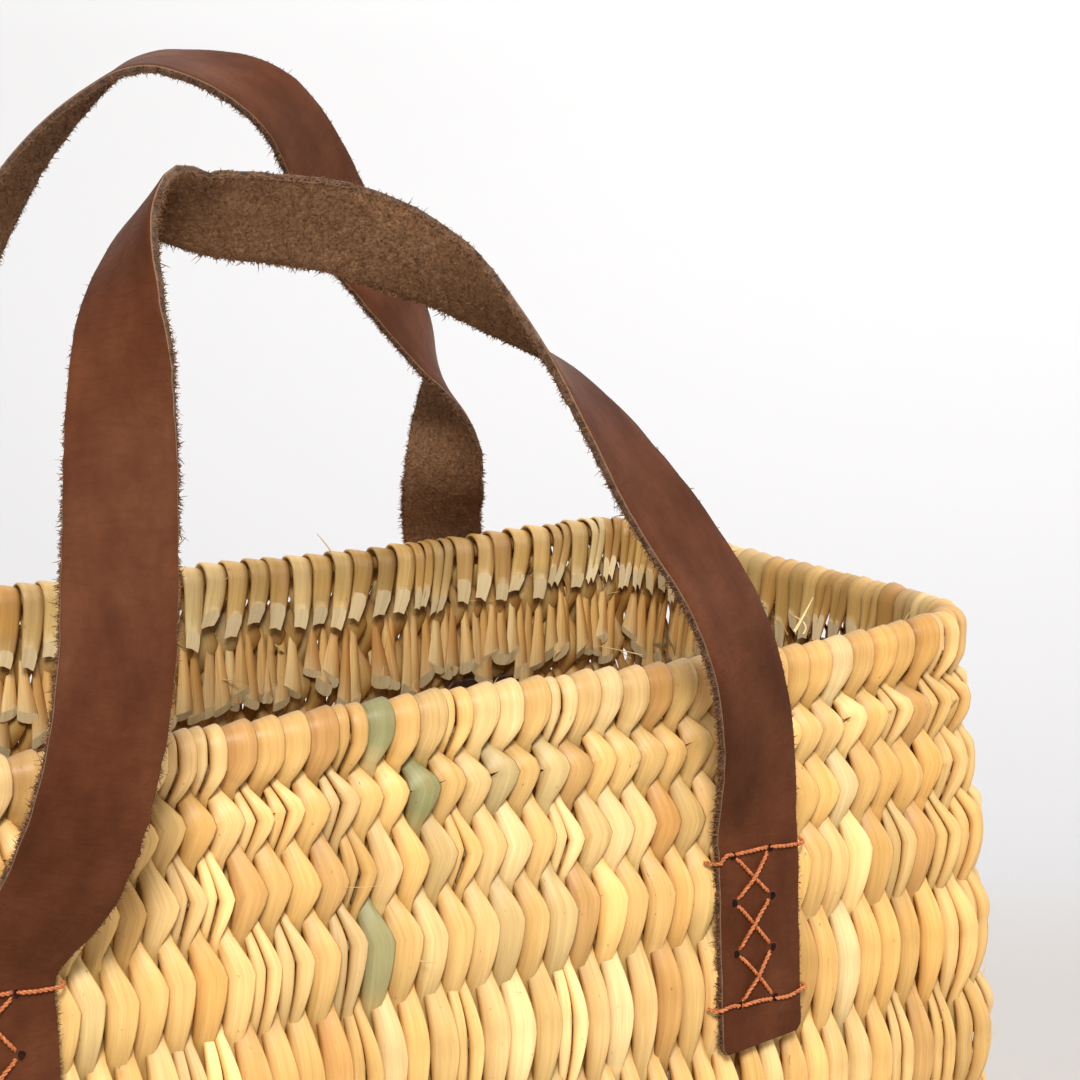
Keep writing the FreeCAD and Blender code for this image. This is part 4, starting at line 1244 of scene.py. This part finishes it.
LEATHER = [M_GRAIN, M_SUEDE, M_EDGE, M_FUZZ]
MEET_Z = 0.2600
paths = {}
for w_i, wall_name in enumerate(("front", "back")):
    side = -1 if wall_name == "front" else 1
    P, T, W, N, along = strap_path(wall_name)
    paths[wall_name] = (P, T, W, N, along)
    zc = P[:, 2]
    top = int(np.argmax(zc))
    iL = int(np.argmax(zc[:top] > MEET_Z))
    iR = len(zc) - 1 - int(np.argmax(zc[::-1][: len(zc) - top] > MEET_Z))
    hinge = (0, side * 0.12)
    for tag, a, b, cap0, cap1 in (("left", 0, iL, True, False), ("upper", iL, iR, False, False), ("right", iR, len(zc) - 1, False, True)):
        ms, mats = Mesher(), []
        sl = slice(a, b + 1)
        # one seed for the whole strap, so that the pieces meet
        V = ribbon(ms, mats, P[sl], W[sl], N[sl], along[sl], 15.0 if tag != "x" else 14.3, 1.5, 11 + w_i, cap0, cap1,
                   skew0=-SKEW["left"] if cap0 else 0, skew1=-SKEW["right"] if cap1 else 0)
        g = np.random.default_rng(70 + w_i * 3 + len(tag))
        fuzz(ms, mats, V, W[sl], N[sl], g, int((64 if tag == "upper" else 40) * (b - a)), 0.42 if tag == "upper" else 0.15)
        name = {"left": "%s_handle_left_foot", "upper": "%s_handle", "right": "%s_handle_right_foot"}[tag] % wall_name
        ob = ms.make(name, LEATHER, mats)
        if tag == "upper":
            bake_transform(ob)
            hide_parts(wall_name + "_strap_left_leg", wall_name + "_strap_right_leg", wall_name + "_strap_arch")
        else:
            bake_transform(ob)
            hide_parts("%s_strap_%s_end" % (wall_name, tag))


# ------------------------------------------------------------------ backing patches inside
for wall_name in ("front", "back"):
    side = -1 if wall_name == "front" else 1
    for tag, x in zip(("left", "right"), ENDS[wall_name]):
        g = np.random.default_rng(len(tag) * 7 + (3 if side > 0 else 0))
        ds = np.linspace(58.3, 121.7, 30)
        y = side * (inner_face(ds) - CLEAR - 1.0)
        P = np.stack([x + 0.4 * np.sin(ds / 17.0), y, HEIGHT * 1000 - ds], -1) * MM
        T = np.gradient(P, axis=0)
        T /= np.linalg.norm(T, axis=1)[:, None]
        W = np.repeat([[float(side), 0, 0]], 30, 0)
        N = np.cross(W, T)
        ms, mats = Mesher(), []
        V = ribbon(ms, mats, P, W, N, (ds - ds[0]) * MM, 15.3, 1.0, 31 + len(tag) + side, True, True, 0.5, -0.8)
        fuzz(ms, mats, V, W, N, g, 420, 0.4)
        ob = ms.make("%s_%s_patch" % (wall_name, tag), [M_PATCH, M_PATCH, M_EDGE, M_FUZZ], mats)
        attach(ob, "basket")
        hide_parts("%s_%s_backing_patch" % (wall_name, tag))


# ------------------------------------------------------------------ stitching
def bezier(pts, n):
    pts = np.array(pts, float)
    t = np.linspace(0, 1, n)[:, None]
    k = len(pts) - 1
    out = np.zeros((n, 3))
    for i, p in enumerate(pts):
        out += math.comb(k, i) * t**i * (1 - t) ** (k - i) * p
    return out


def ply_thread(ms, P, seed, radius=0.69 * MM, lay=3.0 * MM):
    # two plies laid round one another
    n = len(P)
    T = np.gradient(P, axis=0)
    T /= np.linalg.norm(T, axis=1)[:, None]
    A = np.cross(T, np.array([0.02, 1.0, 0.05]))
    A /= np.linalg.norm(A, axis=1)[:, None]
    B = np.cross(T, A)
    along = np.concatenate([[0], np.cumsum(np.linalg.norm(np.diff(P, axis=0), axis=1))])
    ring = np.array([(math.cos(q), math.sin(q)) for q in np.linspace(0, 2 * math.pi, 7)[:-1]])
    for k in (0, 1):
        q = 2 * math.pi * along / lay + math.pi * k + seed
        C = P + (A * np.cos(q)[:, None] + B * np.sin(q)[:, None]) * radius * 0.46
        TC = np.gradient(C, axis=0)
        TC /= np.linalg.norm(TC, axis=1)[:, None]
        A2 = np.cross(TC, B)
        A2 /= np.linalg.norm(A2, axis=1)[:, None]
        B2 = np.cross(TC, A2)
        col = np.ones((n, 4))
        w = np.full(n, radius * 0.58)
        ms.reed(C, A2 * w[:, None], B2 * w[:, None], TC, ring, col, along, w, seed * 1.7 + k, None, (0, 0), None, (0, 0))


ROWS = [62.6, 78.2, 94.4, 111.4]


def stitches(wall_name, tag, x, face, proud, seed, mirror=1):
    """Two columns of four holes, three crosses, a bar at each end and short runs over the strap's edges."""
    side = -1 if wall_name == "front" else 1
    g = np.random.default_rng(seed)
    ms = Mesher()
    # holes: columns a little left of the middle, as sewn by hand
    cx = -2.6 * mirror if proud > 0 else 0.0
    hx = [[cx - 6.4 + g.normal(0, 0.7), cx + 6.4 + g.normal(0, 0.5)] for _ in ROWS]
    hd = [[d + g.normal(0, 0.5), d + g.normal(0, 0.5)] for d in ROWS]
    edge = 15.2

    def pt(xx, d, h):
        return np.array([x + xx, side * (face(d) + proud * h), HEIGHT * 1000 - d]) * MM

    def run(a, b, lift, mid_lift, bow=0.0, dip=(True, True), n=34, seed_k=0.0):
        (xa, da), (xb, db) = a, b
        pts = []
        h0 = -1.2 if dip[0] else lift
        h1 = -1.2 if dip[1] else lift
        v = np.array([xb - xa, db - da], float)
        L = np.linalg.norm(v)
        u = v / L
        nrm = np.array([-u[1], u[0]])
        line = []
        for t in np.linspace(0, 1, n):
            e = math.sin(math.pi * t)
            rise = min(1.0, t / 0.10) if dip[0] else 1.0
            fall = min(1.0, (1 - t) / 0.10) if dip[1] else 1.0
            k = min(rise, fall)
            k = k * k * (3 - 2 * k)
            h = h0 + (lift - h0) * k if t < 0.5 else h1 + (lift - h1) * k
            h += mid_lift * e ** 3
            q = np.array([xa, da]) + v * t + nrm * bow * e
            line.append(pt(q[0], q[1], h))
        return np.array(line)

    k = 0.0
    for r in range(3):
        k += 1.3
        b1, b2 = g.normal(0, 0.5), g.normal(0.9, 0.5)
        ply_thread(ms, run((hx[r][0] + 0.4, hd[r][0] + 0.5), (hx[r + 1][1] - 0.4, hd[r + 1][1] - 0.6), 0.62, 0.0, b1), k)
        ply_thread(ms, run((hx[r][1] - 0.3, hd[r][1] + 0.5), (hx[r + 1][0] + 0.4, hd[r + 1][0] - 0.6), 0.66, 1.05, b2), k + 0.7)
    for r in (0, 3):
        k += 1.1
        up = -0.5 if r == 0 else 0.4
        ply_thread(ms, run((hx[r][0] + 0.2, hd[r][0] + up), (hx[r][1] - 0.2, hd[r][1] + up), 0.7, 0.5 if r == 0 else 0.3, g.normal(0, 0.4)), k)
        for e, col_i in ((-1, 0), (1, 1)):
            xe = e * (edge + 2.8)
            dz = 1.4 if (e < 0 and r == 0) else (-1.0 if e > 0 and r == 3 else 0.3)
            a = run((hx[r][col_i] + e * 0.3, hd[r][col_i] + up * 0.8), (e * (edge - 0.2), hd[r][col_i] + dz), 0.6, 0.25, g.normal(0, 0.5) + (1.0 if e < 0 else 0.2),
                    dip=(True, False), n=24)
            if proud > 0:
                # over the edge and down to the reeds
                tail = [a[-1], pt(xe - e * 1.4, hd[r][col_i] + dz + 0.2, 0.35), pt(xe - e * 0.2, hd[r][col_i] + dz + 0.3, -1.4),
                        pt(xe + e * 0.3, hd[r][col_i] + dz + 0.3, -3.6)]
            else:
                tail = [a[-1], pt(xe - e * 1.4, hd[r][col_i] + dz, 0.35), pt(xe - e * 0.2, hd[r][col_i] + dz, -1.0), pt(xe + e * 0.3, hd[r][col_i] + dz, -2.4)]
            b = bezier(tail, 14)
            ply_thread(ms, np.concatenate([a[:-1], b]), k + e)
    if proud > 0:
        # the cut end of the thread hangs out below the leather
        xx, dd = -2.6 * mirror - 4.0, 124.0
        ply_thread(ms, bezier([pt(xx, dd - 1.5, -3.0), pt(xx + 0.2, dd + 0.6, -2.4), pt(xx + 0.8, dd + 3.2, -2.2)], 12), 0.4)
    # punched holes: shallow discs, a ring of grain leather round a near-black centre that is painted shade for the
    # hole's depth
    holes, hm = Mesher(), []
    for r in range(4):
        for c in (0, 1):
            cxx, cd = hx[r][c] + (-0.5 if c == 0 else 0.7) * 0.8, hd[r][c] + 0.1
            m = 18
            rings = []
            for rad, h in ((1.75, 0.00), (1.35, 0.10), (0.95, 0.03), (0.0, 0.02)):
                rr = [rad * (1 + 0.10 * math.sin(3 * q + r + c)) for q in np.linspace(0, 2 * math.pi, m, endpoint=False)]
                rings.append([pt(cxx + rr[j] * math.cos(2 * math.pi * j / m) * 0.8, cd + rr[j] * math.sin(2 * math.pi * j / m), h + 0.06) for j in range(m)])
            base = holes.n
            holes.v.append(np.array(rings).reshape(-1, 3))
            holes.c.append(np.ones((m * 4, 4)))
            holes.u.append(np.array(rings).reshape(-1, 3))
            for a in range(3):
                for j in range(m):
                    q = (j + 1) % m
                    holes.f.append([base + a * m + j, base + a * m + q, base + (a + 1) * m + q, base + (a + 1) * m + j])
                    hm.append(0 if a else 1)
            holes.n += m * 4
    return ms, holes, hm


for wall_name in ("front", "back"):
    for tag, x in zip(("left", "right"), ENDS[wall_name]):
        seed = 5 + len(tag) + (11 if wall_name == "back" else 0)
        m_out, holes, hm = stitches(wall_name, tag, x, lambda d: outer_face(d) + CLEAR + 3.0, 1.0, seed)
        m_in, holes_in, hm_in = stitches(wall_name, tag, x, lambda d: inner_face(d) - CLEAR - 2.0, -1.0, seed + 50)
        both = Mesher()
        for src in (m_out, m_in):
            shift = both.n
            both.v += src.v
            both.c += src.c
            both.u += src.u
            both.f += [[q + shift for q in f] for f in src.f]
            both.n += src.n
        ob = both.make("%s_%s_thread" % (wall_name, tag), [M_THREAD])
        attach(ob, "basket")
        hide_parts("%s_%s_stitching" % (wall_name, tag))
        ho = holes.make("%s_%s_holes" % (wall_name, tag), [M_HOLE_SHADE, M_GRAIN], hm)
        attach(ho, "basket")


# ------------------------------------------------------------------ carried-over CAD nodes
for n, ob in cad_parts.items():
    if ob.hide_render:
        continue
    ob.data.materials.clear()
    ob.data.materials.append(M_CORD)
    print("carried over:", n)


# ------------------------------------------------------------------ floor, camera, light
def floor_material():
    m, nt, b = nodes_of("floor")
    geo = nt.nodes.new("ShaderNodeTexCoord")
    n1 = noise(nt, geo.outputs["Object"], 6.0, 2.0, 0.5)
    c = mix_rgb(nt, ramp(nt, n1, (0.3, 0.7, 0.0, 1.0)), (0.452, 0.430, 0.415), (0.460, 0.437, 0.422))
    # painted light: the floor is painted paler further from the camera, for the brighter light towards the backdrop
    away = nt.nodes.new("ShaderNodeVectorMath")
    away.operation = "DOT_PRODUCT"
    nt.links.new(geo.outputs["Object"], away.inputs[0])
    away.inputs[1].default_value = (float(FWD[0]) / math.cos(DIP), float(FWD[1]) / math.cos(DIP), 0.0)
    far = nt.nodes.new("ShaderNodeMapRange")
    far.interpolation_type = "SMOOTHSTEP"
    far.inputs["From Min"].default_value = 0.42
    far.inputs["From Max"].default_value = 0.66
    nt.links.new(away.outputs["Value"], far.inputs["Value"])
    c = mix_rgb(nt, far.outputs[0], c, (0.500, 0.496, 0.504))
    # paler up the backdrop: painted light, the brighter light up the backdrop painted into its colour
    height = nt.nodes.new("ShaderNodeSeparateXYZ")
    nt.links.new(geo.outputs["Object"], height.inputs["Vector"])
    c = mix_rgb(nt, ramp(nt, height.outputs["Z"], (0.0, 0.52, 0.0, 1.0)), c, (0.655, 0.658, 0.668))
    nt.links.new(c, b.inputs["Base Color"])
    b.inputs["Roughness"].default_value = 0.7
    b.inputs["Specular IOR Level"].default_value = 0.2
    return m


def sweep_stage():
    # floor that runs back and curves up
    pts = []
    fwd = Vector((FWD[0], FWD[1], 0)).normalized()
    right = Vector((fwd.y, -fwd.x, 0))
    prof = [(-3.0, 0.0)] + [(0.62 * q, 0.0) for q in np.linspace(0, 1, 4)]
    for a in np.linspace(0, math.pi / 2, 16)[1:]:
        prof.append((0.62 + 0.5 * math.sin(a), 0.5 - 0.5 * math.cos(a)))
    prof.append((1.12, 4.0))
    verts, faces = [], []
    xs = np.linspace(-4, 4, 9)
    for d, z in prof:
        for x in xs:
            p = fwd * d + right * x
            verts.append((p.x, p.y, z - 0.0002))
    w = len(xs)
    for i in range(len(prof) - 1):
        for j in range(w - 1):
            faces.append((i * w + j, i * w + j + 1, (i + 1) * w + j + 1, (i + 1) * w + j))
    me = bpy.data.meshes.new("floor")
    me.from_pydata(verts, [], faces)
    me.polygons.foreach_set("use_smooth", [True] * len(me.polygons))
    me.materials.append(floor_material())
    ob = bpy.data.objects.new("floor", me)
    scene.collection.objects.link(ob)


sweep_stage()

cam_data = bpy.data.cameras.new("camera")
cam_data.lens = 80.0
cam_data.sensor_width = 36.0
cam_data.sensor_height = 36.0
cam_data.clip_start = 0.02
cam_data.clip_end = 50.0
cam = bpy.data.objects.new("camera", cam_data)
scene.collection.objects.link(cam)
rot = Matrix((RIGHT, UP, -FWD)).transposed().to_4x4()
cam.matrix_world = Matrix.Translation(Vector(EYE)) @ rot
scene.camera = cam
scene.view_settings.view_transform = "Standard"


def area(name, loc, target, size, power, colour=(1, 1, 1)):
    L = bpy.data.lights.new(name, "AREA")
    L.shape = "RECTANGLE"
    L.size, L.size_y = size
    L.energy = power
    L.color = colour
    ob = bpy.data.objects.new(name, L)
    ob.location = loc
    ob.rotation_euler = (Vector(target) - Vector(loc)).to_track_quat("-Z", "Y").to_euler()
    scene.collection.objects.link(ob)
    return ob


area("key", (-0.85, -1.75, 1.85), (0, 0, 0.2), (0.6, 0.6), 65.0, (1.0, 0.985, 0.96))
area("fill", (1.9, -0.9, 1.0), (0, 0, 0.2), (1.3, 1.3), 17.0, (1.0, 0.99, 0.98))
area("top", (0.2, 0.5, 2.2), (0, 0, 0.2), (1.6, 1.6), 14.0)
area("backdrop_light", (0.9, 0.4, 1.3), (0.9, 1.5, 0.9), (1.6, 1.0), 8.0)
world = bpy.data.worlds.new("world")
scene.world = world
world.use_nodes = True
bg = world.node_tree.nodes.get("Background") or world.node_tree.nodes.new("ShaderNodeBackground")
bg.inputs[0].default_value = (1.0, 1.0, 1.0, 1.0)
bg.inputs[1].default_value = 0.52

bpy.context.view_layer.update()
